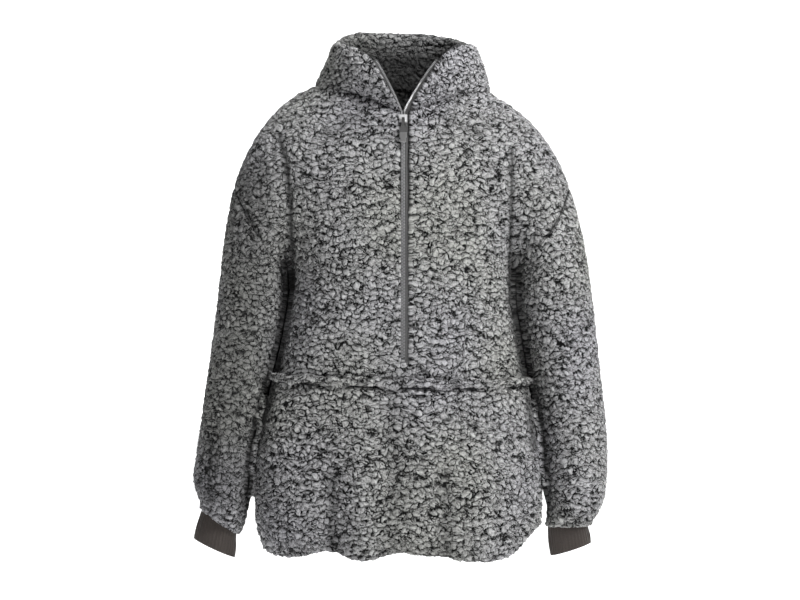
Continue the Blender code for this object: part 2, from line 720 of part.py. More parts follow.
def centre_line(bottom, top):
    """The edge of the slit and the line below it, from the hem to the neck."""
    heights = np.concatenate([
        np.linspace(bottom[2], POCKET_TOP_MIDDLE, POCKET_ROWS + 1),
        np.linspace(SLIT_END, top[2], SIDE_ROWS + ARMHOLE_ROWS - SLIT_ROWS_BELOW + 1),
    ])
    share = (heights - bottom[2]) / (top[2] - bottom[2])
    x = bottom[0] + (top[0] - bottom[0]) * share
    starts = np.stack([x, 0 * x, heights], axis=1)
    line = cast(garment_field, starts, np.tile([0.0, -1.0, 0.0], (len(x), 1)))
    line[0], line[-1] = bottom, top
    return line


def half_panel(lines, facing):
    """The settled grid of half a front or back."""
    front = facing < 0
    hem = lines["hem_front" if front else "hem_back"]
    neck = lines["neck_front" if front else "neck_back"]
    arm = lines["front_armhole"] if front else lines["back_armhole"]
    outer = np.vstack([lines["side"], arm[1:]])
    top = np.vstack([lines["shoulder"], neck[1:]])
    if front:
        inner = centre_line(hem[-1], neck[-1])
        row = POCKET_ROWS
        side = -1 if outer[0, 0] < 0 else 1
        level = pocket_line(side, outer[row], inner[row], len(hem) - 1)
        lower = patch(hem, level, outer[:row + 1], inner[:row + 1])
        upper = patch(level, top, outer[row:], inner[row:])
        halves = [settle(garment_field, grid) for grid in (lower, upper)]
        return np.vstack([halves[0], halves[1][1:]])
    heights = np.linspace(hem[-1][2], neck[-1][2], len(outer))
    starts = np.stack([0 * heights, 0 * heights, heights], axis=1)
    inner = cast(garment_field, starts, np.tile([0.0, 1.0, 0.0], (len(heights), 1)))
    inner[0], inner[-1] = hem[-1], neck[-1]
    return settle(garment_field, patch(hem, top, outer, inner))


# Front and back

def build_front(lines, seams):
    """The front in one grid, from the left side seam to the right one."""
    left = half_panel(lines[-1], -1)
    right = half_panel(lines[1], -1)
    panel = Panel(garment_field, np.concatenate([left, right[:, ::-1]], axis=1), FLEECE_WALL)
    sew_edges(panel, seams, "front")
    panel.finish()
    return panel


def build_back(lines, seams):
    left = half_panel(lines[-1], 1)
    right = half_panel(lines[1], 1)
    panel = Panel(garment_field, np.concatenate([left, right[:, -2::-1]], axis=1), FLEECE_WALL)
    sew_edges(panel, seams, "back")
    panel.finish()
    return panel


def sew_edges(panel, seams, face):
    """Draws the sides, armholes, shoulders and neck of a front or back in by half a gap."""
    low, high = slice(0, SIDE_ROWS + 1), slice(SIDE_ROWS, None)
    columns = panel.outer.shape[1]
    for side in (-1, 1):
        edge, beside = (0, 1) if side < 0 else (columns - 1, columns - 2)
        own = seams[side]
        panel.pull_in((low, edge), (low, beside), own["side"])
        panel.pull_in((high, edge), (high, beside), own[face + "_armhole"])
        along = np.arange(SHOULDER_COLUMNS + NECK_COLUMNS + 1)
        if side > 0:
            along = columns - 1 - along
        shoulder, neck = along[:SHOULDER_COLUMNS + 1], along[SHOULDER_COLUMNS:]
        panel.pull_in((-1, shoulder), (-2, shoulder), own["shoulder"])
        panel.pull_in((-1, neck), (-2, neck), own["neck_" + face])


# Sleeves and cuffs

def tilted_axes(tilt, side):
    turn = math.radians(tilt)
    out = np.array([side * math.cos(turn), 0, math.sin(turn)])
    down = np.array([side * math.sin(turn), 0, -math.cos(turn)])
    return out, down


def oval(centre, tilt, side, half_width, half_depth, count):
    """Points round a flat oval in a tilted plane, from its outer side over the front."""
    out = tilted_axes(tilt, side)[0]
    angles = np.linspace(0, 2 * math.pi, count, endpoint=False)[:, None]
    across = half_width * np.cos(angles) * out
    return centre + across + half_depth * np.sin(angles) * np.array([0, -1, 0])


def build_sleeve(side, seams):
    """The rings of a sleeve, from the armhole down to where it draws in to the cuff."""
    table, rings, cuff = (
        (LEFT_ARM_SECTIONS, LEFT_RINGS, LEFT_CUFF) if side < 0
        else (RIGHT_ARM_SECTIONS, RIGHT_RINGS, RIGHT_CUFF)
    )
    field = left_arm_field if side < 0 else right_arm_field
    around = 2 * ARMHOLE_ROWS
    grid = [armhole(side)]
    cuff_ovals = []
    for number, (height, tilt) in enumerate(rings[1:], 1):
        centre = arm_centre(table, height)
        ring = arm_ring(field, centre, tilt, side, around, ARMHOLE_BULGE * BULGE_FADES**number)
        late = number - (len(rings) - len(SLEEVE_DRAWS_IN))
        if late > 0:
            draw = SLEEVE_DRAWS_IN[late]
            rise = (height - cuff[0][1]) / math.cos(math.radians(cuff[2]))
            middle = np.array([cuff[0][0], CUFF_Y, cuff[0][1]])
            middle -= rise * tilted_axes(cuff[2], side)[1]
            middle += (centre - middle) * (1 - draw)
            clear = SLEEVE_END_WALLS[-1] + CUFF_CLEAR
            drawn = oval(middle, tilt, side, cuff[4] + clear, cuff[5] + clear, around)
            ring = ring + (drawn - ring) * draw
            inside = oval(
                middle, tilt, side, cuff[4] + CUFF_CLEAR, cuff[5] + CUFF_CLEAR, around
            )
            cuff_ovals.append((number, draw, inside))
        grid.append(ring)
    panel = Panel(field, np.array(grid), FLEECE_WALL)
    for number in range(1, len(SLEEVE_END_WALLS)):
        panel.thickness[number - len(SLEEVE_END_WALLS)] = SLEEVE_END_WALLS[number]
    front = seams["front_armhole"]
    back = seams["back_armhole"]
    half = ARMHOLE_ROWS
    ring = panel.outer[0]
    shifts = np.zeros_like(ring)
    for seam, order in ((front, range(half, -1, -1)), (back, [*range(half, around), 0])):
        order = list(order)
        into = np.sign(((panel.outer[1][order] - ring[order]) * seam.across).sum(axis=-1).mean())
        share = np.ones((len(order), 1))
        share[0] = share[-1] = 0.5
        shifts[order] += share * into * seam.across * SEAM_GAP / 2
        panel.normals[0][order] = seam.normals
    panel.outer[0] += shifts
    panel.finish()
    for row, draw, inside in cuff_ovals:
        panel.inner[row] += (inside - panel.inner[row]) * draw
    return panel


def build_cuff(name, side, material, collection):
    """A ribbed cuff, tucked into its sleeve, with ribs raised on the outside."""
    (x0, z0), (x1, z1), tilt0, tilt1, half_width, half_depth = (
        LEFT_CUFF if side < 0 else RIGHT_CUFF
    )
    count = 2 * CUFF_RIBS
    tuck = tilted_axes(tilt0, side)[1] * CUFF_TUCK
    top, bottom = np.array([x0, CUFF_Y, z0]), np.array([x1, CUFF_Y, z1])
    rows = (
        (top - tuck, tilt0, CUFF_TUCK_SPREAD, CUFF_END_RELIEF),
        (top, tilt0, 1.0, CUFF_END_RELIEF),
        (top + (bottom - top) * CUFF_ROWS[0], tilt0, CUFF_ROW_SPREAD, 1.0),
        (top + (bottom - top) * CUFF_ROWS[1], tilt1, CUFF_SPREAD, 1.0),
        (bottom, tilt1, CUFF_SPREAD, CUFF_END_RELIEF),
    )
    ribs = np.where(np.arange(count) % 2 == 0, 1.0, 0.0)[:, None]
    outer, inner = [], []
    for number, (centre, tilt, spread, relief) in enumerate(rows):
        ring = oval(centre, tilt, side, half_width * spread, half_depth * spread, count)
        away = unit(ring - centre)
        outer.append(ring - away * RIB_HEIGHT * (1 - ribs * relief))
        lip = CUFF_LIP_THINNER if number == len(rows) - 1 else 0
        inner.append(ring - away * (CUFF_WALL - lip))
    return wall(name, np.array(outer), np.array(inner), material, collection, closed=True)


# Collar

def smooth_curve(rows, places):
    """A curve through rows at even steps, read at places from 0 to 1."""
    rows = np.array(rows)
    slopes = np.gradient(rows, axis=0)
    at = np.clip(np.asarray(places) * (len(rows) - 1), 0, len(rows) - 1 - 1e-9)
    low = at.astype(int)
    t = (at - low)[:, None]
    return (
        (2 * t**3 - 3 * t**2 + 1) * rows[low]
        + (t**3 - 2 * t**2 + t) * slopes[low]
        + (3 * t**2 - 2 * t**3) * rows[low + 1]
        + (t**3 - t**2) * slopes[low + 1]
    )


def neck_seam(seams):
    """The seated foot of the collar: outer and inner points from the right front to the left."""
    points, normals, across = [], [], []
    parts = (
        (1, "neck_front", True), (1, "neck_back", False),
        (-1, "neck_back", True), (-1, "neck_front", False),
    )
    for side, name, back_to_front in parts:
        seam = seams[side][name]
        row = np.stack([seam.points, seam.normals, seam.across], axis=1)
        towards = np.array([0.0, 0.0, NECK_AIM]) - seam.points
        row[:, 2] *= np.sign((towards * seam.across).sum(axis=-1).mean())
        row = row[::-1] if back_to_front else row
        if points:
            across[-1] = (across[-1] + row[0, 2]) / 2
            row = row[1:]
        points += list(row[:, 0])
        normals += list(row[:, 1])
        across += list(row[:, 2])
    points, normals, across = (np.array(values) for values in (points, normals, across))
    foot = points + across * SEAM_GAP * COLLAR_SEAT + normals * fold_height(points)[:, None]
    return foot, foot - normals * FLEECE_WALL


def build_collar(seams):
    """Loops round the collar's section, and the line, outward way and end way of its tips."""
    foot_out, foot_in = neck_seam(seams)
    foot = (foot_out + foot_in) / 2
    along = np.concatenate([[0], np.cumsum(np.linalg.norm(np.diff(foot, axis=0), axis=1))])
    crest = smooth_curve(COLLAR_CREST, along / along[-1])
    spread, crest = crest[:, 3:], crest[:, :3]
    middle = (foot + crest) / 2
    away = unit(middle * np.array([1, 1, 0]))
    hold = middle + 2 * spread * away
    levels = np.array(COLLAR_LEVELS)
    mids = [(1 - t) ** 2 * foot + 2 * t * (1 - t) * hold + t**2 * crest for t in levels]
    rises = [unit(2 * (1 - t) * (hold - foot) + 2 * t * (crest - hold)) for t in levels]
    outer, inner, faces = [], [], []
    for t, mid, rise in zip(levels, mids, rises):
        face = unit(np.cross(np.gradient(mid, axis=0), rise))
        face *= np.sign((face * away).sum(axis=-1, keepdims=True))
        half = np.interp(t, (0, FULL_WALL_AT, 1), (FLEECE_WALL / 2, COLLAR_HALF_WALL, COLLAR_ROLL))
        outer.append(mid + half * face)
        inner.append(mid - half * face)
        faces.append(face)
    outer[0], inner[0] = foot_out, foot_in
    roll = [
        mids[-1] + COLLAR_ROLL * (
            math.cos(math.radians(turn)) * faces[-1] + math.sin(math.radians(turn)) * rises[-1]
        )
        for turn in ROLL_ANGLES
    ]
    loops = np.stack([*outer, *roll, *inner[::-1]], axis=1)
    tips = {}
    for side, index, beside in ((1, 0, 1), (-1, -1, -2)):
        line = np.array([mid[index] for mid in mids])
        face = unit(foot_out[index] - foot_in[index])
        way = unit(np.cross(line[-1] - line[0], face))
        way *= np.sign((line[-1] - mids[-1][beside]) @ way)
        start = line[0].copy()
        loops[index] -= ((loops[index] - start) @ way)[:, None] * way
        line -= ((line - start) @ way)[:, None] * way
        tips[side] = (line, way, face)
    return loops, tips


# Pocket and what is sewn round it

def build_pocket(front, edge):
    """The pocket's points, moved out from the front's own points."""
    rows = slice(0, POCKET_ROWS + 1)
    columns = slice(edge, front.outer.shape[1] - edge)
    base, way = front.outer[rows, columns], front.normals[rows, columns]
    height = np.full(base.shape[:2] + (1,), FLEECE_WALL)
    height[-1] = height[:, 0] = height[:, -1] = POCKET_EDGE_WALL * FLEECE_WALL
    inner = base + PATCH_LIFT * way
    return inner + height * way, inner


def welt(name, low, high, ways, lift, height, material, collection):
    """A raised, rounded strip between two lines that lie on the front."""
    low, high = low + lift * ways, high + lift * ways
    middle = (low + high) / 2
    near = [low + (middle - low) * way_in + up * height * ways for way_in, up in (WELT_SHOULDER, WELT_TOP)]
    far = [high + (middle - high) * way_in + up * height * ways for way_in, up in (WELT_TOP, WELT_SHOULDER)]
    return loft(name, np.stack([low, *near, *far, high], axis=1), material, collection)


# Zip

def ribbon(name, first, second, faces, thickness, material, collection):
    """A flat strip between two lines."""
    half = faces * thickness / 2
    loops = np.stack([first - half, first + half, second + half, second - half], axis=1)
    return loft(name, loops, material, collection)


def zip_lines(front, tips, side):
    """Where a tape starts, its way in to the chain, its width and its outward way."""
    columns = front.outer.shape[1]
    column = columns // 2 - 1 if side < 0 else columns // 2
    rows = range(SLIT_ROWS_BELOW, front.outer.shape[0])
    slit = front.outer[list(rows), column]
    faces = front.normals[list(rows), column]
    edge = SLIT_LEFT if side < 0 else SLIT_RIGHT
    width = abs(edge) - TAPE_SEAT - CHAIN_HALF - TAPE_GAP - CHAIN_GAP
    inward = np.tile([-float(side), 0.0, 0.0], (len(slit), 1))
    line, way, tip_face = tips[side]
    rest = len(line) - 1
    inward[-1] = unit(inward[-1] + way)
    faces[-1] = unit(faces[-1] + tip_face)
    widths = np.concatenate([
        np.full(len(slit), width), np.linspace(width, TIP_TAPE, len(line))[1:]
    ])
    starts = np.vstack([slit - TAPE_DEPTH * faces, line[1:]])
    starts[0] += ZIP_STARTS * (starts[1] - starts[0])
    return (
        starts, np.vstack([inward, np.tile(way, (rest, 1))]), widths[:, None],
        np.vstack([faces, np.tile(tip_face, (rest, 1))]),
    )


def build_zip_half(front, tips, side, tape, metal, collection):
    starts, ways, widths, faces = zip_lines(front, tips, side)
    name = "left" if side < 0 else "right"
    first = starts + TAPE_SEAT * ways
    second = first + widths * ways
    ribbon("zip_tape_" + name, first, second, faces, TAPE_WALL, tape, collection)
    third = second + TAPE_GAP * ways
    third[0] += CHAIN_STARTS * unit(third[1] - third[0])
    fourth = third + CHAIN_HALF * ways
    ribbon("zip_chain_" + name, third, fourth, faces, CHAIN_WALL, metal, collection)


def block(size, place):
    """A bevelled block, for joining to others."""
    mesh = bpy.data.meshes.new("block")
    work = bmesh.new()
    bmesh.ops.create_cube(work, size=1.0)
    bmesh.ops.scale(work, vec=Vector(size), verts=work.verts)
    bmesh.ops.bevel(
        work, geom=work.edges[:], offset=min(size) * BLOCK_EDGE, segments=1, affect="EDGES",
        profile=0.5, material=-1,
    )
    bmesh.ops.translate(work, vec=Vector(place), verts=work.verts)
    work.to_mesh(mesh)
    work.free()
    return mesh


def rod(radius, length, place):
    """A round rod along X."""
    mesh = bpy.data.meshes.new("rod")
    work = bmesh.new()
    bmesh.ops.create_cone(
        work, cap_ends=True, segments=ROD_SIDES, radius1=radius, radius2=radius, depth=length,
    )
    turn = Matrix.Rotation(math.pi / 2, 4, "Y")
    bmesh.ops.transform(work, matrix=Matrix.Translation(place) @ turn, verts=work.verts)
    work.to_mesh(mesh)
    work.free()
    return mesh


def joined(name, frame, meshes, cut, material, collection, guides):
    """One body from several meshes, less the cut ones, placed by a frame."""
    thing = bpy.data.objects.new(name, meshes[0])
    thing.data.materials.append(material)
    collection.objects.link(thing)
    thing.matrix_world = frame
    for operation, others in (("UNION", meshes[1:]), ("DIFFERENCE", cut)):
        for mesh in others:
            guide = bpy.data.objects.new(name + "_guide", mesh)
            guides.objects.link(guide)
            guide.matrix_world = frame
            guide.hide_render = True
            guide.display_type = "WIRE"
            step = thing.modifiers.new(operation.title(), "BOOLEAN")
            step.operation = operation
            step.solver = "EXACT"
            step.object = guide
    return thing


def local_frame(point, face):
    """A frame at a point of the front's middle line: X across, Y down the cloth, Z out of it."""
    out = Vector(face).normalized()
    across = Vector((-1.0, 0.0, 0.0))
    down = out.cross(across).normalized()
    return Matrix.Translation(Vector(point)) @ Matrix((across, down, out)).transposed().to_4x4()


def build_stop(front, metal, collection):
    """The bottom stop, a small block across the slit under the two chain halves."""
    columns = front.outer.shape[1]
    corners = front.outer[SLIT_ROWS_BELOW, columns // 2 - 1:columns // 2 + 1]
    face = unit(front.normals[SLIT_ROWS_BELOW, columns // 2 - 1:columns // 2 + 1].sum(axis=0))
    share = -corners[0, 0] / (corners[1, 0] - corners[0, 0])
    place = corners[0] + share * (corners[1] - corners[0]) - TAPE_DEPTH * face
    frame = local_frame(place, (0.0, face[1], face[2]))
    stop = block(STOP_SIZE, (0, -SEAM_GAP - 0.75 * STOP_SIZE[1], 0))
    thing = add_object("zip_stop", stop, metal, collection)
    thing.matrix_world = frame


def build_slider(metal, collection, guides):
    """The slider with its pin, and the pull that hangs from the pin."""
    point = cast(garment_field, np.array([[0.0, 0.0, SLIDER_AT]]), np.array([[0.0, -1.0, 0.0]]))
    face = outward(garment_field, point)[0]
    face[0] = 0.0
    frame = local_frame(point[0], face)
    plate_out = PLATE_LIFT + SLIDER_PLATE
    stem = plate_out - JOIN_DEPTH - STEM_IN
    ear_height = PIN_OUT + EAR_OVER_PIN - plate_out + JOIN_DEPTH
    ear_middle = plate_out - JOIN_DEPTH + ear_height / 2
    slider = [
        block((SLIDER_WIDTH, SLIDER_HEIGHT, SLIDER_PLATE), (0, 0, PLATE_LIFT + SLIDER_PLATE / 2)),
        block((*STEM_SIZE, stem), (0, 0, STEM_IN + stem / 2)),
    ]
    for way in (-1, 1):
        slider.append(block((*EAR_SIZE, ear_height), (way * EAR_APART, PIN_DOWN, ear_middle)))
    slider.append(rod(PIN_RADIUS, 2 * EAR_APART, (0, PIN_DOWN, PIN_OUT)))
    joined("zip_slider", frame, slider, [], metal, collection, guides)

    pivot = frame @ Matrix.Translation((0, PIN_DOWN, PIN_OUT))
    eye_width = 2 * EAR_APART - EAR_SIZE[0] - EYE_CLEAR
    link_start = EYE_RADIUS - PULL_LINK_IN
    tab_start = link_start + PULL_LINK - PULL_JOIN
    end_start = tab_start + PULL_TAB - PULL_JOIN
    pull = [
        rod(EYE_RADIUS, eye_width, (0, 0, 0)),
        block((eye_width, PULL_LINK, PULL_WALL), (0, link_start + PULL_LINK / 2, 0)),
        block((PULL_WIDTH, PULL_TAB, PULL_TAB_WALL), (0, tab_start + PULL_TAB / 2, 0)),
        block((PULL_END_WIDTH, PULL_END, PULL_WALL), (0, end_start + PULL_END / 2, 0)),
    ]
    bore = rod(PIN_RADIUS + BORE_CLEAR, eye_width + 2 * MM, (0, 0, 0))
    joined("zip_pull", pivot, pull, [bore], metal, collection, guides)


def main():
    clear_scene()
    collection = bpy.data.collections.new("half_zip_pullover")
    guides = bpy.data.collections.new("cutters")
    for group in (collection, guides):
        bpy.context.scene.collection.children.link(group)
    fleece = principled("sherpa_fleece", FLEECE_GREY, 0.95)
    rib = principled("rib_knit", RIB_BROWN, 0.9)
    tape = principled("zip_tape", TAPE_GREY, 0.85)
    metal = principled("zip_metal", SILVER, 0.3, 1.0)

    lines = {side: seams_of(side) for side in (-1, 1)}
    seams = {
        side: {name: make_seam(name, line) for name, line in lines[side].items()}
        for side in (-1, 1)
    }
    front = build_front(lines, seams)
    back = build_back(lines, seams)
    half = front.outer.shape[1] // 2 - 1
    slit = {(row, half) for row in range(SLIT_ROWS_BELOW, front.outer.shape[0] - 1)}
    wall("front", front.outer, front.inner, fleece, collection, open_cells=slit)
    wall("back", back.outer, back.inner, fleece, collection)
    for side, name in ((-1, "left"), (1, "right")):
        sleeve = build_sleeve(side, seams[side])
        wall("sleeve_" + name, sleeve.outer, sleeve.inner, fleece, collection, closed=True)
        build_cuff("cuff_" + name, side, rib, collection)
    loops, tips = build_collar(seams)
    loft("collar", loops, fleece, collection)

    outer, inner = build_pocket(front, POCKET_EDGE)
    wall("pocket", outer, inner, fleece, collection)
    columns = slice(POCKET_EDGE, front.outer.shape[1] - POCKET_EDGE)
    below, above = front.outer[POCKET_ROWS, columns], front.outer[POCKET_ROWS + 1, columns]
    ways = front.normals[POCKET_ROWS, columns]
    low, high = (below + reach * unit(above - below) for reach in BAND_PLACE)
    welt("pocket_band", low, high, ways, BAND_LIFT, BAND_HEIGHT, fleece, collection)
    rows = slice(*OPENING_ROWS)
    openings = (("left", POCKET_EDGE, POCKET_EDGE - 1), ("right", -1 - POCKET_EDGE, -POCKET_EDGE))
    for name, near, far in openings:
        edge, beyond = front.outer[rows, near], front.outer[rows, far]
        ways = front.normals[rows, near]
        low, high = (edge + share * (beyond - edge) for share in EDGE_PLACE)
        welt("pocket_edge_" + name, low, high, ways, PATCH_LIFT, EDGE_HEIGHT, fleece, collection)

    for side in (-1, 1):
        build_zip_half(front, tips, side, tape, metal, collection)
    build_stop(front, metal, collection)
    build_slider(metal, collection, guides)


main()
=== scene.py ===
# Looks for a half-zip sherpa pullover, filled out as it is worn.
# Left and right are as seen from the front. Metres throughout.

import math

import bmesh
import bpy
import numpy as np
from mathutils import Matrix, Vector
from mathutils.bvhtree import BVHTree


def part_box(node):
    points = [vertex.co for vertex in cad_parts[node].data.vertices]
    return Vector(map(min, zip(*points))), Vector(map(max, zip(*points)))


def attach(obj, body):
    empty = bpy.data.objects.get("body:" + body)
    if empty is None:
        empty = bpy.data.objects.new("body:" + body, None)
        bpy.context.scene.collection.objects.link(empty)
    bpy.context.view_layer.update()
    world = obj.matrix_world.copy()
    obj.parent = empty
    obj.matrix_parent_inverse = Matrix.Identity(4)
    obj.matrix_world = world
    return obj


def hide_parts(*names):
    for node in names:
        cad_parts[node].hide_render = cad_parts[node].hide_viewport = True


MM = 0.001

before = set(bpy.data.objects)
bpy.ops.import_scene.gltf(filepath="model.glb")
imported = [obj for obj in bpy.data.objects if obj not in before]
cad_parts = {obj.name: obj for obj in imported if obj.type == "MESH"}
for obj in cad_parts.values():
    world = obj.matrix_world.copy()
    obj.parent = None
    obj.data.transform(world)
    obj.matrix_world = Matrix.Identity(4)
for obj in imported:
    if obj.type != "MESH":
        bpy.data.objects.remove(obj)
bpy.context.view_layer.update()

# Camera and its frame
EYE_DISTANCE = 2.78
EYE_ACROSS = -0.005
EYE_HEIGHT = -0.338
SENSOR = 36.0
SEEN_WIDTH = 1.32

# Pile: sizes of a clump, a furrow and a curl, across, in depth and up
TUFT = (11.0 * MM, 11.0 * MM, 8.4 * MM)
FURROW = (21 * MM, 21 * MM, 12 * MM)
CURL = (5.4 * MM, 5.4 * MM, 4.4 * MM)
STRAND = (1.5 * MM, 1.5 * MM, 3.2 * MM)
# Noises that bend the pile: scale and reach
BENDS = ((17.0, 15 * MM), (70.0, 12 * MM), (230.0, 5.2 * MM))
# How deep the pile stands, how far its top lies over the solid, and how high the short nap inside is
PILE_DEPTH = 5.2 * MM
PILE_RISE = 2.4 * MM
NAP = 0.62
# How far the pile may sink, from the collar's foot up and below it
COLLAR_FOOT = -70 * MM
SINKS_MOST = (3.4 * MM, 6.5 * MM)

# Points this near are one
WELD = 0.01 * MM
# Faces that meet at less than this are one smooth area
SMOOTH_TURN = math.radians(50)
# Area of the smallest face that is cut finer for the pile
CUT_FROM = 16 * MM * MM
# Cloth that lies this near over a face hides it
HIDDEN_WITHIN = 2.5 * MM
# Rims that show: under which height and how far down they face, and how near the slit and how far across
HEM_RIM = (-0.66, 0.5)
SLIT_RIM = (20 * MM, 0.6)

# Cloth next to other cloth: how near counts, how deep it sinks and how dark its painted shade gets
SEAM_REACH = 4.0 * MM
SEAM_SINKS = 2.6 * MM
SHADE_REACH = 2.8 * MM
SHADE_MOST = 0.50
LOOSE_SHADE = 0.3
# Above this height a seam is buried in its pile, and shows only by this share
BURIED_FROM = -130 * MM
BURIED_SHOWS = 0.25

# Gap between an arm and the body: where it lies across and below which height, and its shade
CREVICE_ACROSS = (0.15, 0.29)
CREVICE_BELOW = -0.24
CREVICE_REACH = 19 * MM
CREVICE_SHADE = 0.97
# Pile that closes it and is painted near-black as shade: how far it looks and fills, where it ends and
# over what height
FILL_LOOKS = 40 * MM
FILL_MOST = 14 * MM
FILL_GAP = 0.3 * MM
FILL_ENDS = -0.675
FILL_FADES = 0.03

# How much further the pile of the loose strips stands out
LOOSE_RISE = 0.6 * MM
# Pile that hangs over the tapes: its reach left and right, its least share and how far it faces the zip
SLIT_FLUFF = (3.0 * MM, 6.5 * MM)
FLUFF_LEAST = 0.45
SLIT_FACES = 0.7
# The collar's tips: how far forward they lie, the way that they face, and how nearly
TIP_FROM = -0.05
TIP_WAY = (0.87, 0.49)
TIP_FACES = 0.75
# Bulge of the collar: from and to which height, how far, and how deep it fades towards the front
COLLAR_BULGE = (-0.01, 0.085, 4.5 * MM)
BULGE_FADES = 0.1

# Lower and upper end of the pull's metal tab
PULL_TAB = (-91.8 * MM, -73.4 * MM)

# Zip teeth: their step and size, how far they stand out, their round edges, and the chain's bare ends
TOOTH_PITCH = 2.3 * MM
TOOTH = (3.0 * MM, 1.5 * MM, 1.35 * MM)
TOOTH_LIFT = 0.8 * MM
TOOTH_ROUND = 0.25 * MM
CHAIN_END = 3 * MM
# Steps at which the chain's middle is found
CHAIN_STEP = 2.116 * MM


# Nodes of a material or of a mesh

class Amount:
    """A number or colour in a node tree, so that sums are written as sums."""

    def __init__(self, maker, socket):
        self.maker, self.socket = maker, socket

    def sum_with(self, operation, *values):
        return self.maker.add("ShaderNodeMath", {"operation": operation}, dict(enumerate(values)))

    def __add__(self, other):
        return self.sum_with("ADD", self, other)

    __radd__ = __add__

    def __sub__(self, other):
        return self.sum_with("SUBTRACT", self, other)

    def __rsub__(self, other):
        return self.sum_with("SUBTRACT", other, self)

    def __mul__(self, other):
        return self.sum_with("MULTIPLY", self, other)

    __rmul__ = __mul__

    def __abs__(self):
        return self.sum_with("ABSOLUTE", self)


class Maker:
    """Adds nodes to a tree."""

    def __init__(self, tree):
        self.tree = tree

    def feed(self, socket, value):
        if isinstance(value, Amount):
            self.tree.links.new(value.socket, socket)
        else:
            socket.default_value = value

    def add(self, kind, settings=None, values=None, out=0):
        node = self.tree.nodes.new(kind)
        for key, value in (settings or {}).items():
            if key == "stops":
                ramp = node.color_ramp
                ramp.elements[0].position, ramp.elements[0].color = value[0]
                ramp.elements[1].position, ramp.elements[1].color = value[-1]
                for place, colour in value[1:-1]:
                    ramp.elements.new(place).color = colour
            else:
                setattr(node, key, value)
        for key, value in (values or {}).items():
            self.feed(node.inputs[key], value)
        return Amount(self, node.outputs[out]) if node.outputs else None

    def vector(self, operation, *values):
        return self.add("ShaderNodeVectorMath", {"operation": operation}, dict(enumerate(values)))

    def noise(self, place, scale, detail=2.0, roughness=0.5, out=0):
        return self.add("ShaderNodeTexNoise", {}, {
            "Vector": place, "Scale": scale, "Detail": detail, "Roughness": roughness,
        }, out)

    def tufts(self, place, feature="F1", out=0):
        return self.add("ShaderNodeTexVoronoi", {"feature": feature}, {
            "Vector": place, "Scale": 1.0, "Randomness": 0.95,
        }, out)

    def rise(self, amount, low, high, start=0.0, end=1.0):
        """A soft step from start to end as the amount goes from low to high."""
        return self.add("ShaderNodeMapRange", {"interpolation_type": "SMOOTHSTEP"}, {
            0: amount, 1: low, 2: high, 3: start, 4: end,
        })

    def bent(self, place, scale, reach):
        """A place moved about by a noise."""
        way = self.vector("SUBTRACT", self.noise(place, scale, 1.0, out=1), (0.5, 0.5, 0.5))
        return self.vector("MULTIPLY_ADD", way, (reach, reach, reach), place)

    def clumps(self, place, size):
        """How far the nearest clump's middle is, the way to the next one, and how far down in it."""
        local = self.vector("DIVIDE", place, size)
        near = self.tufts(local)
        gap = self.tufts(local, "F2") - near
        way = self.vector("SUBTRACT", self.tufts(local, out=2), local)
        return near, gap, self.add("ShaderNodeSeparateXYZ", {}, {0: way}, 2)

    def crack(self, place, gap, edges, depth, scale, breaks):
        """The line between two clumps, with breaks here and there: a groove in the pile, and a dark line
        of painted shade in its colour.
        """
        broken = self.rise(self.noise(place, scale, 1.0), *breaks)
        return self.rise(gap, *edges, depth, 0.0) * broken

    def pile(self, place):
        """Height of the pile, from 0 in a crevice to 1 on top of a clump."""
        for scale, reach in BENDS:
            place = self.bent(place, scale, reach)
        near, gap, down = self.clumps(place, TUFT)
        clump = 0.60 + down * 0.44 + self.rise(near, 0.0, 1.0, 0.20, -0.10)
        clump = clump * (1.0 - self.crack(place, gap, (0.0, 0.13), 0.95, 110.0, (0.36, 0.58, 0.15, 1.0)))
        near, gap, down = self.clumps(place, CURL)
        curl = 0.90 + down * 0.34
        curl = curl - self.crack(place, gap, (0.0, 0.17), 0.50, 210.0, (0.36, 0.60, 0.10, 1.0))
        furrow = abs(self.noise(self.vector("DIVIDE", place, FURROW), 1.0, 1.0) - 0.5)
        furrow = 1.0 - self.crack(place, furrow, (0.004, 0.030), 0.9, 60.0, (0.46, 0.62))
        return clump * furrow * curl


def pile_height(mesh):
    """The pile's height at each of a mesh's points."""
    tree = bpy.data.node_groups.new("pile", "GeometryNodeTree")
    tree.interface.new_socket("Geometry", in_out="INPUT", socket_type="NodeSocketGeometry")
    tree.interface.new_socket("Geometry", in_out="OUTPUT", socket_type="NodeSocketGeometry")
    make = Maker(tree)
    place = make.add("GeometryNodeInputPosition")
    kept = make.add("GeometryNodeStoreNamedAttribute", {"data_type": "FLOAT", "domain": "POINT"}, {
        "Geometry": make.add("NodeGroupInput"), "Name": "pile", "Value": make.pile(place),
    })
    make.add("NodeGroupOutput", {}, {0: kept})
    guide = bpy.data.objects.new("guide", mesh)
    bpy.context.scene.collection.objects.link(guide)
    guide.modifiers.new("Pile", "NODES").node_group = tree
    bpy.context.view_layer.update()
    made = guide.evaluated_get(bpy.context.evaluated_depsgraph_get()).to_mesh()
    height = np.zeros(len(mesh.vertices), np.float32)
    made.attributes["pile"].data.foreach_get("value", height)
    bpy.data.objects.remove(guide)
    bpy.data.node_groups.remove(tree)
    return height.astype(float)


# Making pieces

def new_piece(name, mesh, material, body):
    piece = bpy.data.objects.new(name, mesh)
    bpy.context.scene.collection.objects.link(piece)
    piece.data.materials.clear()
    piece.data.materials.append(material)
    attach(piece, body)
    return piece


def merged(node):
    """A copy of a CAD node with its triangles joined to four-sided faces."""
    work = bmesh.new()
    work.from_mesh(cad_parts[node].data)
    bmesh.ops.remove_doubles(work, verts=work.verts, dist=WELD)
    bmesh.ops.join_triangles(
        work, faces=work.faces, angle_face_threshold=SMOOTH_TURN,
        angle_shape_threshold=math.radians(70),
    )
    return work


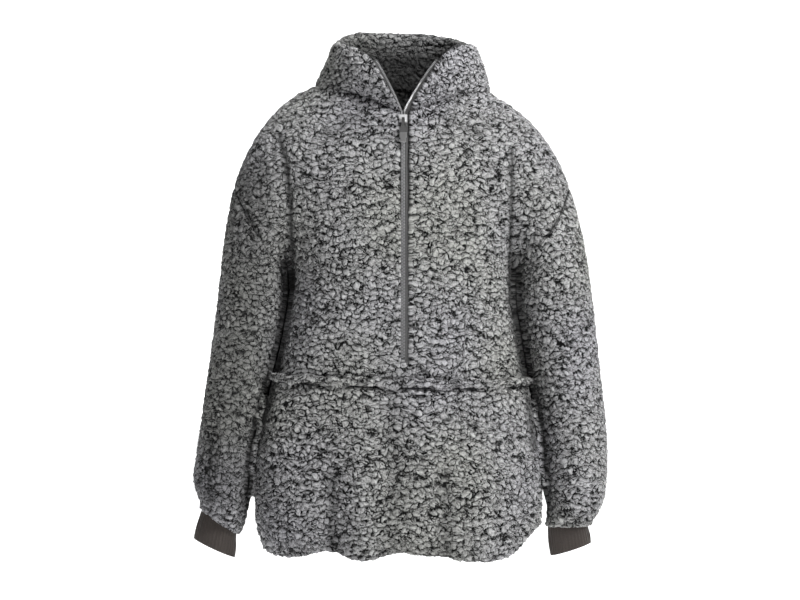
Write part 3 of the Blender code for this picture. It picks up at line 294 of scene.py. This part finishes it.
def smooth_areas(work):
    """Areas whose faces meet softly, the largest first."""
    seen, areas = set(), []
    for start in work.faces:
        if start in seen:
            continue
        seen.add(start)
        area, waiting = [], [start]
        while waiting:
            face = waiting.pop()
            area.append(face)
            for edge in face.edges:
                if edge.calc_face_angle(math.pi) > SMOOTH_TURN:
                    continue
                for other in edge.link_faces:
                    if other not in seen:
                        seen.add(other)
                        waiting.append(other)
        areas.append(area)
    return sorted(areas, key=lambda area: -sum(face.calc_area() for face in area))


def rounded(work, levels):
    """The same form made smooth, with its sharp edges kept."""
    crease = work.edges.layers.float.new("crease_edge")
    for edge in work.edges:
        if edge.calc_face_angle(math.pi) > SMOOTH_TURN:
            edge[crease] = 1.0
    mesh = bpy.data.meshes.new("smooth")
    work.to_mesh(mesh)
    work.free()
    guide = bpy.data.objects.new("smooth", mesh)
    bpy.context.scene.collection.objects.link(guide)
    smooth = guide.modifiers.new("Smooth", "SUBSURF")
    smooth.levels = smooth.render_levels = levels
    bpy.context.view_layer.update()
    work = bmesh.new()
    work.from_mesh(guide.evaluated_get(bpy.context.evaluated_depsgraph_get()).to_mesh())
    bpy.data.objects.remove(guide)
    bpy.data.meshes.remove(mesh)
    return work


def neighbours_of(node, others):
    """The solids near a node, for finding what its cloth touches."""
    work = bmesh.new()
    for other in others:
        if other != node:
            work.from_mesh(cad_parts[other].data)
    tree = BVHTree.FromBMesh(work)
    work.free()
    return tree


# Creases of each side, sunk a little and darkened with painted shade: points across and in height, width,
# and how deep they lie in shade
CREASED = ("front", "back", "sleeve_left", "sleeve_right", "pocket")
CREASE_SINKS = 2.5 * MM
# Depth that parts the front's creases from the back's
SIDES_MEET = 0.02
FRONT_CREASES = (
    (((-0.199, -0.077), (-0.187, -0.116), (-0.180, -0.180), (-0.180, -0.322)), 5 * MM, 0.86),
    (((-0.182, -0.300), (-0.214, -0.497), (-0.240, -0.576)), 8 * MM, 0.80),
    (((0.174, -0.096), (0.173, -0.259), (0.174, -0.338)), 4 * MM, 0.80),
    (((0.174, -0.338), (0.201, -0.497), (0.212, -0.576)), 6 * MM, 0.70),
    (((-0.236, -0.150), (-0.244, -0.320), (-0.272, -0.480), (-0.292, -0.640)), 46 * MM, 0.52),
    (((-0.015, -0.500), (-0.012, -0.620), (-0.020, -0.735)), 15 * MM, 0.30),
    (((-0.112, -0.610), (-0.110, -0.745)), 11 * MM, 0.45),
    (((0.066, -0.610), (0.068, -0.745)), 10 * MM, 0.40),
    (((-0.310, -0.560), (-0.312, -0.660)), 6 * MM, 0.55),
    (((-0.120, -0.075), (-0.070, -0.040)), 14 * MM, 0.30),
    (((0.060, -0.045), (0.120, -0.070)), 10 * MM, 0.30),
)
BACK_CREASES = (
    (((-0.176, -0.100), (-0.172, -0.300), (-0.205, -0.570)), 9 * MM, 0.60),
    (((0.172, -0.110), (0.170, -0.320), (0.203, -0.570)), 8 * MM, 0.60),
    (((-0.060, -0.450), (-0.072, -0.600), (-0.075, -0.740)), 14 * MM, 0.30),
    (((0.085, -0.500), (0.092, -0.740)), 12 * MM, 0.30),
    (((-0.110, -0.080), (-0.050, -0.125)), 14 * MM, 0.25),
    (((-0.285, -0.330), (-0.215, -0.365)), 9 * MM, 0.35),
    (((0.215, -0.345), (0.280, -0.320)), 8 * MM, 0.30),
)
# Waves of the loose strips: length, reach and start
RUFFLES = ((13.1 * MM, 1.7 * MM, 0.0), (6.3 * MM, 1.3 * MM, 1.0), (3.4 * MM, 0.8 * MM, 2.0))
# Lowest height at which the inside is furred, and the neck's middle in depth
NECK_LINING = -60 * MM
NECK_MIDDLE = -10 * MM
# Heights over which the inside falls into painted shade, how dark it gets and how far down it matters
SHADE_FROM, SHADE_TO = 126 * MM, 68 * MM
INSIDE_SHADE = 0.93
INSIDE_TO = -0.2

FLEECE_NODES = (
    "front", "back", "sleeve_left", "sleeve_right", "collar", "pocket", "pocket_band",
    "pocket_edge_left", "pocket_edge_right",
)
OUTER, INNER, RIM = 0, 1, 2


def crease_shade(points):
    """How deep in the painted shade of a crease each point lies."""
    light = np.ones(len(points))
    place = points[:, (0, 2)]
    sides = (FRONT_CREASES, points[:, 1] < SIDES_MEET), (BACK_CREASES, points[:, 1] > SIDES_MEET)
    for creases, side in sides:
        for line, width, most in creases:
            gap = np.full(len(points), 1.0)
            for start, end in zip(line, line[1:]):
                start, run = np.array(start), np.array(end) - np.array(start)
                share = np.clip((place - start) @ run / (run @ run), 0, 1)
                gap = np.minimum(gap, np.linalg.norm(start + share[:, None] * run - place, axis=1))
            light *= 1 - most * side * np.exp(-((gap / width) ** 2))
    return 1 - light


def ruffle(node, points):
    """How far the loose strips round the pocket wave up and down or from side to side."""
    moved = np.zeros_like(points)
    if node == "pocket_band":
        along, moves = points[:, 0], moved[:, 2]
    elif node.startswith("pocket_edge"):
        along, moves = points[:, 2], moved[:, 0]
    else:
        return moved
    for size, reach, start in RUFFLES:
        moves += reach * np.sin(along / size + start)
    return moved


def sort_faces(work, all_round):
    """Tells the outside of a wall from its inside and rims, and counts what shows of these as outside."""
    for number, area in enumerate(smooth_areas(work)):
        for face in area:
            face.material_index = OUTER if all_round else min(number, RIM)
            middle = face.calc_center_median()
            at_hem = middle.z < HEM_RIM[0] and face.normal.z < -HEM_RIM[1]
            at_slit = abs(middle.x) < SLIT_RIM[0] and abs(face.normal.x) > SLIT_RIM[1]
            at_neck = number == INNER and middle.z > NECK_LINING
            if at_neck or (number >= RIM and (at_hem or at_slit)):
                face.material_index = OUTER


def cut_finer(work, node, cuts):
    """Cuts the outside finer for the pile, apart from what the pocket hides."""
    cover = neighbours_of(node, ("pocket",))
    shown = []
    for face in work.faces:
        if face.material_index != OUTER:
            continue
        start = face.calc_center_median() + face.normal * 0.1 * MM
        if node == "front" and cover.ray_cast(start, face.normal, HIDDEN_WITHIN)[0] is not None:
            face.material_index = RIM
        else:
            shown.append(face)
    coarse = (face for face in shown if face.calc_area() > CUT_FROM)
    edges = list(dict.fromkeys(edge for face in coarse for edge in face.edges))
    bmesh.ops.subdivide_edges(work, edges=edges, cuts=cuts, use_grid_fill=True)
    bmesh.ops.triangulate(work, faces=[face for face in work.faces if len(face.verts) > 4])


def read(items, name, kind=np.float32, width=1):
    """A value of each item of a mesh, with a row for each item where it is a vector."""
    values = np.zeros(len(items) * width, kind)
    items.foreach_get(name, values)
    return values.reshape(-1, width).astype(float) if width > 1 else values


def keep(mesh, name, values):
    """Stores a value at each point of a mesh, for its material."""
    mesh.attributes.new(name, "FLOAT", "POINT").data.foreach_set("value", values.astype(np.float32))


def ways_out(mesh):
    """The way out at each point of the outside, and which points those are."""
    counts = read(mesh.polygons, "loop_total", np.int32)
    corners = read(mesh.loops, "vertex_index", np.int32)
    faces = np.repeat(np.arange(len(mesh.polygons)), counts)
    outside = (read(mesh.polygons, "material_index", np.int32) == OUTER)[faces]
    normals = read(mesh.polygons, "normal", width=3) * read(mesh.polygons, "area")[:, None]
    ways = np.zeros((len(mesh.vertices), 3))
    np.add.at(ways, corners[outside], normals[faces[outside]])
    size = np.linalg.norm(ways, axis=1)
    raised = size > 0
    ways[raised] /= size[raised, None]
    return ways, raised


def meet_cloth(node, points, ways, push, raised, crevice):
    """Sinks the pile at seams and fills the gap at an arm, and tells how near other cloth is, for the
    painted shade there.
    """
    near = neighbours_of(node, FLEECE_NODES)
    gaps = np.full(len(points), 1.0)
    for index in np.flatnonzero(raised):
        way, start = Vector(ways[index]), Vector(points[index])
        # Pile that fills the gap at an arm; its gap is kept so that it is painted near-black as shade.
        if crevice[index]:
            hit = near.ray_cast(start + way * 0.2 * MM, way, FILL_LOOKS)
            if hit[0] is not None:
                gaps[index] = hit[3] * SHADE_REACH / CREVICE_REACH
                if hit[3] < FILL_MOST:
                    share = min(max((start.z - FILL_ENDS) / FILL_FADES, 0), 1)
                    push[index] = max(push[index], share * (hit[3] / 2 - FILL_GAP))
        else:
            gap = near.find_nearest(start, 3 * SEAM_REACH)[3]
            if gap is not None:
                gaps[index] = gap
                shows = BURIED_SHOWS if start.z > BURIED_FROM else 1.0 - node.startswith("pocket_")
                push[index] -= shows * SEAM_SINKS * math.exp(-((gap / SEAM_REACH) ** 2))
    return gaps


def hang_over_tapes(node, points, ways, push, raised, height):
    """Lets the pile at the slit and at the collar's tips hang over the zip's tapes."""
    to_zip = -np.sign(points[:, 0]) * ways[:, 0]
    at_slit = (to_zip > SLIT_FACES) & (np.abs(points[:, 0]) < SLIT_RIM[0])
    at_slit = at_slit & (points[:, 1] < 0) & (points[:, 2] < 0)
    at_tip = (points[:, 1] < TIP_FROM) & (to_zip * TIP_WAY[0] + ways[:, 2] * TIP_WAY[1] > TIP_FACES)
    hangs = raised & (at_slit | (at_tip & (node == "collar")))
    over = np.where(points[:, 0] > 0, SLIT_FLUFF[1], SLIT_FLUFF[0])
    push[hangs] = over[hangs] * (FLUFF_LEAST + (1 - FLUFF_LEAST) * height[hangs])


def fleece_piece(name, node, cuts, all_round):
    """Cloth on a solid's form with its pile raised on the outside."""
    work = merged(node)
    sort_faces(work, all_round)
    work = rounded(work, 2)
    cut_finer(work, node, cuts)
    mesh = bpy.data.meshes.new(name)
    work.to_mesh(mesh)
    work.free()
    points = read(mesh.vertices, "co", width=3)
    ways, raised = ways_out(mesh)
    rest = mesh.attributes.new("rest", "FLOAT_VECTOR", "POINT")
    rest.data.foreach_set("vector", points.astype(np.float32).ravel())

    height = pile_height(mesh)
    height[~raised] = NAP
    across, up = np.abs(points[:, 0]), points[:, 2]
    loose = node.startswith("pocket_")
    push = np.where(raised, PILE_RISE + LOOSE_RISE * loose - PILE_DEPTH * (1 - height), 0.0)
    crevice = raised & (across > CREVICE_ACROSS[0]) & (across < CREVICE_ACROSS[1]) & (up < CREVICE_BELOW)
    gaps = meet_cloth(node, points, ways, push, raised, crevice)
    least = np.where(up > COLLAR_FOOT, -SINKS_MOST[0], -SINKS_MOST[1])
    push[raised] = np.maximum(push, least)[raised]
    if node == "collar":
        low, high, reach = COLLAR_BULGE
        share = np.clip((up - low) / (high - low), 0, 1)
        push += reach * np.sin(math.pi * share) * (1 - np.clip(-points[:, 1] / BULGE_FADES, 0, 1))
    hang_over_tapes(node, points, ways, push, raised, height)
    line = crease_shade(points) if node in CREASED else np.zeros(len(points))
    push -= CREASE_SINKS * line * raised
    points += ways * push[:, None]
    points += ruffle(node, points)
    mesh.vertices.foreach_set("co", points.astype(np.float32).ravel())

    # Painted shade: inside the neck, along seams, in the gap at each arm and along the creases the colour
    # is darkened by the shaded value.
    inward = (points[:, 1] - NECK_MIDDLE) * ways[:, 1] + points[:, 0] * ways[:, 0] < 0
    depth = np.clip((SHADE_FROM - points[:, 2]) / (SHADE_FROM - SHADE_TO), 0, 1)
    dark = INSIDE_SHADE * depth * (inward | ~raised) * (up > INSIDE_TO)
    most = np.where(crevice, CREVICE_SHADE, LOOSE_SHADE if loose else SHADE_MOST)
    most = np.where(up > BURIED_FROM, SHADE_MOST * BURIED_SHOWS, most)
    dark = np.maximum(dark, most * np.exp(-((gaps / SHADE_REACH) ** 2)))
    keep(mesh, "shaded", 1 - (1 - dark) * (1 - line))
    keep(mesh, "outside", raised)
    mesh.polygons.foreach_set("material_index", np.zeros(len(mesh.polygons), np.int32))
    mesh.shade_smooth()
    mesh.update()
    piece = new_piece(name, mesh, FLEECE, "garment")
    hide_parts(node)
    return piece


# Materials

class Finish(Maker):
    """A material in the making."""

    def __init__(self, name, constants):
        self.material = bpy.data.materials.new(name)
        self.material.use_nodes = True
        super().__init__(self.material.node_tree)
        self.shader = self.tree.nodes["Principled BSDF"]
        for socket, value in constants.items():
            self.shader.inputs[socket].default_value = value

    def place(self):
        return self.add("ShaderNodeTexCoord", out="Object")

    def attribute(self, name, out="Fac"):
        return self.add("ShaderNodeAttribute", {"attribute_name": name}, out=out)

    def ramp(self, amount, *stops):
        return self.add("ShaderNodeValToRGB", {"stops": stops}, {0: amount})

    def mix(self, share, first, second, blend="MIX"):
        return self.add(
            "ShaderNodeMix", {"data_type": "RGBA", "blend_type": blend},
            {0: share, 6: first, 7: second}, 2,
        )

    def bump(self, height, strength, distance):
        return self.add("ShaderNodeBump", {}, {
            "Height": height, "Strength": strength, "Distance": distance,
        })

    def wear(self, **sockets):
        for socket, value in sockets.items():
            self.feed(self.shader.inputs[socket.replace("_", " ")], value)
        return self.material


def grey(value, red=1.0, blue=1.0):
    return (value * red, value, value * blue, 1.0)


def make_fleece():
    finish = Finish("sherpa_fleece", {
        "Roughness": 0.95, "Specular IOR Level": 0.10, "Sheen Weight": 0.06,
        "Sheen Roughness": 0.6, "Sheen Tint": grey(0.7),
    })
    rest = finish.attribute("rest", "Vector")
    outside = finish.attribute("outside")
    pile = finish.pile(rest)
    strand = finish.vector("DIVIDE", finish.bent(rest, 120.0, 9 * MM), STRAND)
    fluff = finish.noise(strand, 1.0, 2.0, 0.65)
    # The pile's height also sets its colour, near-black in the crevices and light on the tops: painted
    # shade over the real relief, with random fluff.
    shade = pile * outside + 0.5 * (1.0 - outside) + (fluff - 0.5) * 0.55
    tone = finish.ramp(
        shade, (0.15, grey(0.004)), (0.32, grey(0.080)), (0.48, grey(0.240)), (0.85, grey(0.450)),
    )
    patch = finish.noise(rest, 4.5, 1.0)
    tint = finish.ramp(patch, (0.35, grey(1.0, 0.99, 0.955)), (0.65, grey(0.985, 1.005, 1.05)))
    colour = finish.mix(1.0, tone, tint, "MULTIPLY")
    # Painted shade: the colour goes towards near-black as far as the shaded value says.
    colour = finish.mix(finish.attribute("shaded"), colour, grey(0.012))
    relief = finish.bump(pile * outside + fluff * 0.18, 0.9, 4.0 * MM)
    return finish.wear(Base_Color=colour, Normal=relief)


def make_rib():
    finish = Finish("rib_knit", {
        "Roughness": 0.85, "Specular IOR Level": 0.2, "Sheen Weight": 0.15, "Sheen Roughness": 0.5,
    })
    fluff = finish.noise(finish.place(), 1100.0, 3.0, 0.6)
    rows = finish.add("ShaderNodeTexWave", {"bands_direction": "Z"}, {
        "Vector": finish.place(), "Scale": 260.0, "Distortion": 1.2, "Detail": 2.0, "Detail Scale": 3.0,
    })
    shade = fluff * 0.6 + rows * 0.25
    colour = finish.ramp(shade, (0.15, (0.022, 0.018, 0.016, 1)), (0.75, (0.060, 0.050, 0.045, 1)))
    return finish.wear(Base_Color=colour, Normal=finish.bump(rows * 0.6 + fluff * 0.5, 0.45, 0.4 * MM))


def make_tape():
    finish = Finish("zip_tape", {"Roughness": 0.8, "Specular IOR Level": 0.25, "Sheen Weight": 0.1})
    weave = finish.add("ShaderNodeTexWave", {"bands_direction": "DIAGONAL"}, {
        "Vector": finish.place(), "Scale": 420.0, "Distortion": 0.6,
    })
    fluff = finish.noise(finish.place(), 1500.0)
    colour = finish.ramp(weave * 0.5 + fluff * 0.4, (0.2, grey(0.050)), (0.8, grey(0.110)))
    return finish.wear(Base_Color=colour, Normal=finish.bump(weave, 0.4, 0.25 * MM))


def make_metal(name, colour, low, high):
    """Metal whose roughness goes from low to high in patches."""
    finish = Finish(name, {"Metallic": 1.0})
    wear = finish.noise(finish.place(), 420.0, 3.0)
    rough = low + wear * (high - low)
    worn = tuple(0.75 * part for part in colour[:3]) + (1.0,)
    tone = finish.mix(finish.noise(finish.place(), 130.0), colour, worn)
    return finish.wear(Base_Color=tone, Roughness=rough, Normal=finish.bump(wear, 0.08, 0.05 * MM))


def make_pull():
    """A metal tab between its dark loop and its dark end."""
    finish = Finish("zip_pull", {})
    up = finish.add("ShaderNodeSeparateXYZ", {}, {0: finish.place()}, 2)
    turned_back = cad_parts["zip_pull"].matrix_world.inverted()
    low, high = ((turned_back @ Vector((0, 0, height))).z for height in PULL_TAB)
    tab = finish.rise(up, low, low + 0.5 * MM) * finish.rise(up, high - 0.5 * MM, high, 1.0, 0.0)
    colour = finish.mix(tab, grey(0.022), grey(0.30))
    return finish.wear(Base_Color=colour, Metallic=tab, Roughness=0.55 - tab * 0.25)


FLEECE = make_fleece()
RIB = make_rib()
TAPE = make_tape()
SILVER = make_metal("zip_metal", (0.66, 0.66, 0.67, 1.0), 0.30, 0.48)
TEETH = make_metal("zip_teeth", (0.46, 0.46, 0.47, 1.0), 0.28, 0.45)
PULL = make_pull()


# Fleece pieces: name, node, finer cuts, flat width and length of the cut, its area, and how it is held

FLEECE_PIECES = (
    ("front_fleece", "front", 2, (0.86, 0.80), 0.43, "hung"),
    ("back_fleece", "back", 2, (0.86, 0.80), 0.44, "hung"),
    ("sleeve_left_fleece", "sleeve_left", 2, (0.45, 0.54), 0.19, "hung"),
    ("sleeve_right_fleece", "sleeve_right", 2, (0.45, 0.54), 0.19, "hung"),
    ("collar_fleece", "collar", 2, (0.62, 0.125), 0.073, "folded"),
    ("pocket_fleece", "pocket", 3, (0.52, 0.29), 0.14, "hung"),
    ("band_fleece", "pocket_band", 2, (0.47, 0.03), 0.0125, "folded"),
    ("pocket_edge_left_fleece", "pocket_edge_left", 2, (0.17, 0.027), 0.0043, "folded"),
    ("pocket_edge_right_fleece", "pocket_edge_right", 2, (0.145, 0.027), 0.0036, "folded"),
)
for name, node, cuts, flat, area, held in FLEECE_PIECES:
    small = node == "collar" or node.startswith("pocket_")
    piece = fleece_piece(name, node, cuts, all_round=small)


# Cuffs

# Soft folds round a cuff: how many, how deep and where they start
CUFF_FOLDS = ((3, 1.3 * MM, 0.6), (5, 0.9 * MM, 2.0))
# How much the solid's ribs gain before they are rounded, and the largest turn that is a rib
RIB_GAIN = 0.9
RIB_MOST = 2 * MM
# How nearly a point of a cuff faces away from its middle where it is outside
CUFF_FACES = 0.5


def folded_cuff(node, start):
    """A cuff with its ribs kept, and with folds that deepen towards its lower edge."""
    work = merged(node)
    gains = []
    for vert in work.verts:
        around = [edge.other_vert(vert).co for edge in vert.link_edges]
        gain = (vert.co - sum(around, Vector()) / len(around)).dot(vert.normal)
        gains.append(gain if abs(gain) < RIB_MOST else 0.0)
    for vert, gain in zip(work.verts, gains):
        vert.co += vert.normal * gain * RIB_GAIN
    work = rounded(work, 2)
    places = np.array([vert.co for vert in work.verts])
    ways = np.array([vert.normal for vert in work.verts])
    middle = [np.polyval(np.polyfit(places[:, 2], places[:, axis], 1), places[:, 2]) for axis in (0, 1)]
    out = places[:, :2] - np.stack(middle, 1)
    facing = np.einsum("ij,ij->i", out, ways[:, :2]) > CUFF_FACES * np.linalg.norm(out, axis=1)
    turn = np.arctan2(out[:, 1], out[:, 0])
    down = 1 - (places[:, 2] - places[:, 2].min()) / np.ptp(places[:, 2])
    push = np.zeros(len(places))
    for waves, reach, shift in CUFF_FOLDS:
        push += reach * down * (np.cos(waves * turn + shift + start) - 1) / 2
    for vert, reach in zip(work.verts, push * facing):
        vert.co += vert.normal * reach
    return work


for side, start in (("left", 0.0), ("right", 1.4)):
    work = folded_cuff("cuff_" + side, start)
    mesh = bpy.data.meshes.new("cuff_" + side)
    work.to_mesh(mesh)
    work.free()
    mesh.shade_smooth()
    cuff = new_piece("ribbed_cuff_" + side, mesh, RIB, "garment")
    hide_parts("cuff_" + side)


# Zip

def middles(node, heights):
    """The middle of a node's section at each height."""
    work = bmesh.new()
    work.from_mesh(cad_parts[node].data)
    bmesh.ops.remove_doubles(work, verts=work.verts, dist=WELD)
    found = []
    for height in heights:
        cut = []
        for edge in work.edges:
            low, high = (vert.co for vert in edge.verts)
            if (low.z - height) * (high.z - height) < 0:
                cut.append(low + (high - low) * ((height - low.z) / (high.z - low.z)))
        found.append(sum(cut, Vector()) / len(cut))
    work.free()
    return found


def tooth_row(side):
    """Teeth along one chain half, joined in one mesh."""
    node = "zip_chain_" + side
    low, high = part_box(node)
    line = middles(node, np.arange(low.z + CHAIN_END, high.z - CHAIN_END, CHAIN_STEP))
    work = bmesh.new()
    travelled, wanted = 0.0, 0.0 if side == "left" else TOOTH_PITCH / 2
    for first, second in zip(line, line[1:]):
        step = (second - first).length
        while wanted <= travelled + step:
            point = first + (second - first) * ((wanted - travelled) / step)
            along = (second - first).normalized()
            out = Vector((0, -1, 0))
            out = (out - along * out.dot(along)).normalized()
            across = along.cross(out).normalized()
            turn = Matrix((across, out, along)).transposed()
            made = bmesh.ops.create_cube(work, size=1.0)
            bmesh.ops.scale(work, vec=Vector(TOOTH), verts=made["verts"])
            lift = turn @ Vector((0, TOOTH_LIFT, 0))
            bmesh.ops.transform(
                work, matrix=Matrix.Translation(point + lift) @ turn.to_4x4(), verts=made["verts"],
            )
            wanted += TOOTH_PITCH
        travelled += step
    bmesh.ops.bevel(
        work, geom=work.edges[:], offset=TOOTH_ROUND, segments=1, affect="EDGES", profile=0.5, material=-1,
    )
    mesh = bpy.data.meshes.new("teeth_" + side)
    work.to_mesh(mesh)
    work.free()
    return new_piece("teeth_" + side, mesh, TEETH, "garment")


def dress(node, material):
    """Gives a solid that shows as it is its material."""
    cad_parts[node].data.materials.clear()
    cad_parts[node].data.materials.append(material)


for side in ("left", "right"):
    tooth_row(side)
    dress("zip_chain_" + side, TAPE)
    dress("zip_tape_" + side, TAPE)
dress("zip_slider", SILVER)
dress("zip_pull", PULL)
dress("zip_stop", SILVER)


# Floor, light and camera

STAGE_RADIUS = 9.0
FLOOR_HEIGHT = -1.25
# Half width of the wall that lights the garment from behind, and how far back it stands
BACK_LIGHT = 4.0
BACK_LIGHT_AT = 2.2
# How brightly the stage glows near the garment and beyond it, and where the one turns into the other
STAGE_GLOW = 0.62
STAGE_WHITE = 1.05
STAGE_NEAR, STAGE_FAR = 2.3, 2.6
# Lights: name, place, aim, width and height, and watts
LIGHTS = (
    ("key", (1.5, -1.8, 2.0), (0, 0, -0.3), (1.0, 0.8), 136),
    ("fill", (-0.6, -3.0, 0.6), (0, 0, -0.35), (1.2, 1.2), 7),
    ("side_right", (2.4, -0.2, 0.4), (0, 0, -0.35), (0.8, 1.4), 8),
    ("top", (0.0, 0.1, 1.9), (0, 0, 0), (1.2, 0.8), 14),
)
ROOM_LIGHT = 0.06


def soft_light(name, place, aim, size, power):
    """A square lamp that faces its aim."""
    light = bpy.data.lights.new(name, "AREA")
    light.shape = "RECTANGLE"
    light.size, light.size_y = size
    light.energy = power
    lamp = bpy.data.objects.new(name, light)
    bpy.context.scene.collection.objects.link(lamp)
    lamp.location = place
    lamp.rotation_euler = (Vector(aim) - Vector(place)).to_track_quat("-Z", "Y").to_euler()


def stage_piece(name, work, near, far):
    """A plain pale piece of the stage, which glows by near close to the garment and far beyond it."""
    mesh = bpy.data.meshes.new(name)
    work.to_mesh(mesh)
    work.free()
    piece = bpy.data.objects.new(name, mesh)
    bpy.context.scene.collection.objects.link(piece)
    finish = Finish(name, {"Roughness": 0.9, "Emission Strength": 1.0})
    away = finish.add("ShaderNodeVectorMath", {"operation": "LENGTH"}, {0: finish.place()}, 1)
    finish.wear(Base_Color=grey(0.92), Emission_Color=finish.rise(away, STAGE_NEAR, STAGE_FAR, near, far))
    piece.data.materials.append(finish.material)
    return piece


def make_stage():
    """A floor, a wall behind the garment that only lights it, and a round wall that is only seen."""
    work = bmesh.new()
    bmesh.ops.create_circle(work, cap_ends=True, segments=64, radius=STAGE_RADIUS)
    bmesh.ops.translate(work, vec=Vector((0, 0, FLOOR_HEIGHT)), verts=work.verts)
    stage_piece("floor", work, STAGE_GLOW, STAGE_WHITE)
    work = bmesh.new()
    bmesh.ops.create_grid(work, x_segments=1, y_segments=1, size=BACK_LIGHT)
    bmesh.ops.rotate(work, matrix=Matrix.Rotation(math.pi / 2, 3, "X"), verts=work.verts)
    bmesh.ops.translate(work, vec=Vector((0, BACK_LIGHT_AT, FLOOR_HEIGHT + BACK_LIGHT)), verts=work.verts)
    stage_piece("back_light", work, STAGE_GLOW, STAGE_GLOW).visible_camera = False
    work = bmesh.new()
    bmesh.ops.create_cone(
        work, cap_ends=False, segments=64, radius1=STAGE_RADIUS, radius2=STAGE_RADIUS,
        depth=2 * STAGE_RADIUS,
    )
    backdrop = stage_piece("backdrop", work, STAGE_WHITE, STAGE_WHITE)
    backdrop.visible_diffuse = backdrop.visible_glossy = backdrop.visible_shadow = False


make_stage()
for light in LIGHTS:
    soft_light(*light)
world = bpy.data.worlds.new("studio")
bpy.context.scene.world = world
world.use_nodes = True
world.node_tree.nodes["Background"].inputs["Color"].default_value = (1, 1, 1, 1)
world.node_tree.nodes["Background"].inputs["Strength"].default_value = ROOM_LIGHT
bpy.context.scene.view_settings.view_transform = "Standard"

lens = bpy.data.cameras.new("camera")
lens.sensor_width = SENSOR
lens.lens = SENSOR * EYE_DISTANCE / SEEN_WIDTH
eye = bpy.data.objects.new("camera", lens)
bpy.context.scene.collection.objects.link(eye)
eye.location = (EYE_ACROSS, -EYE_DISTANCE, EYE_HEIGHT)
eye.rotation_euler = (math.pi / 2, 0, 0)
bpy.context.scene.camera = eye
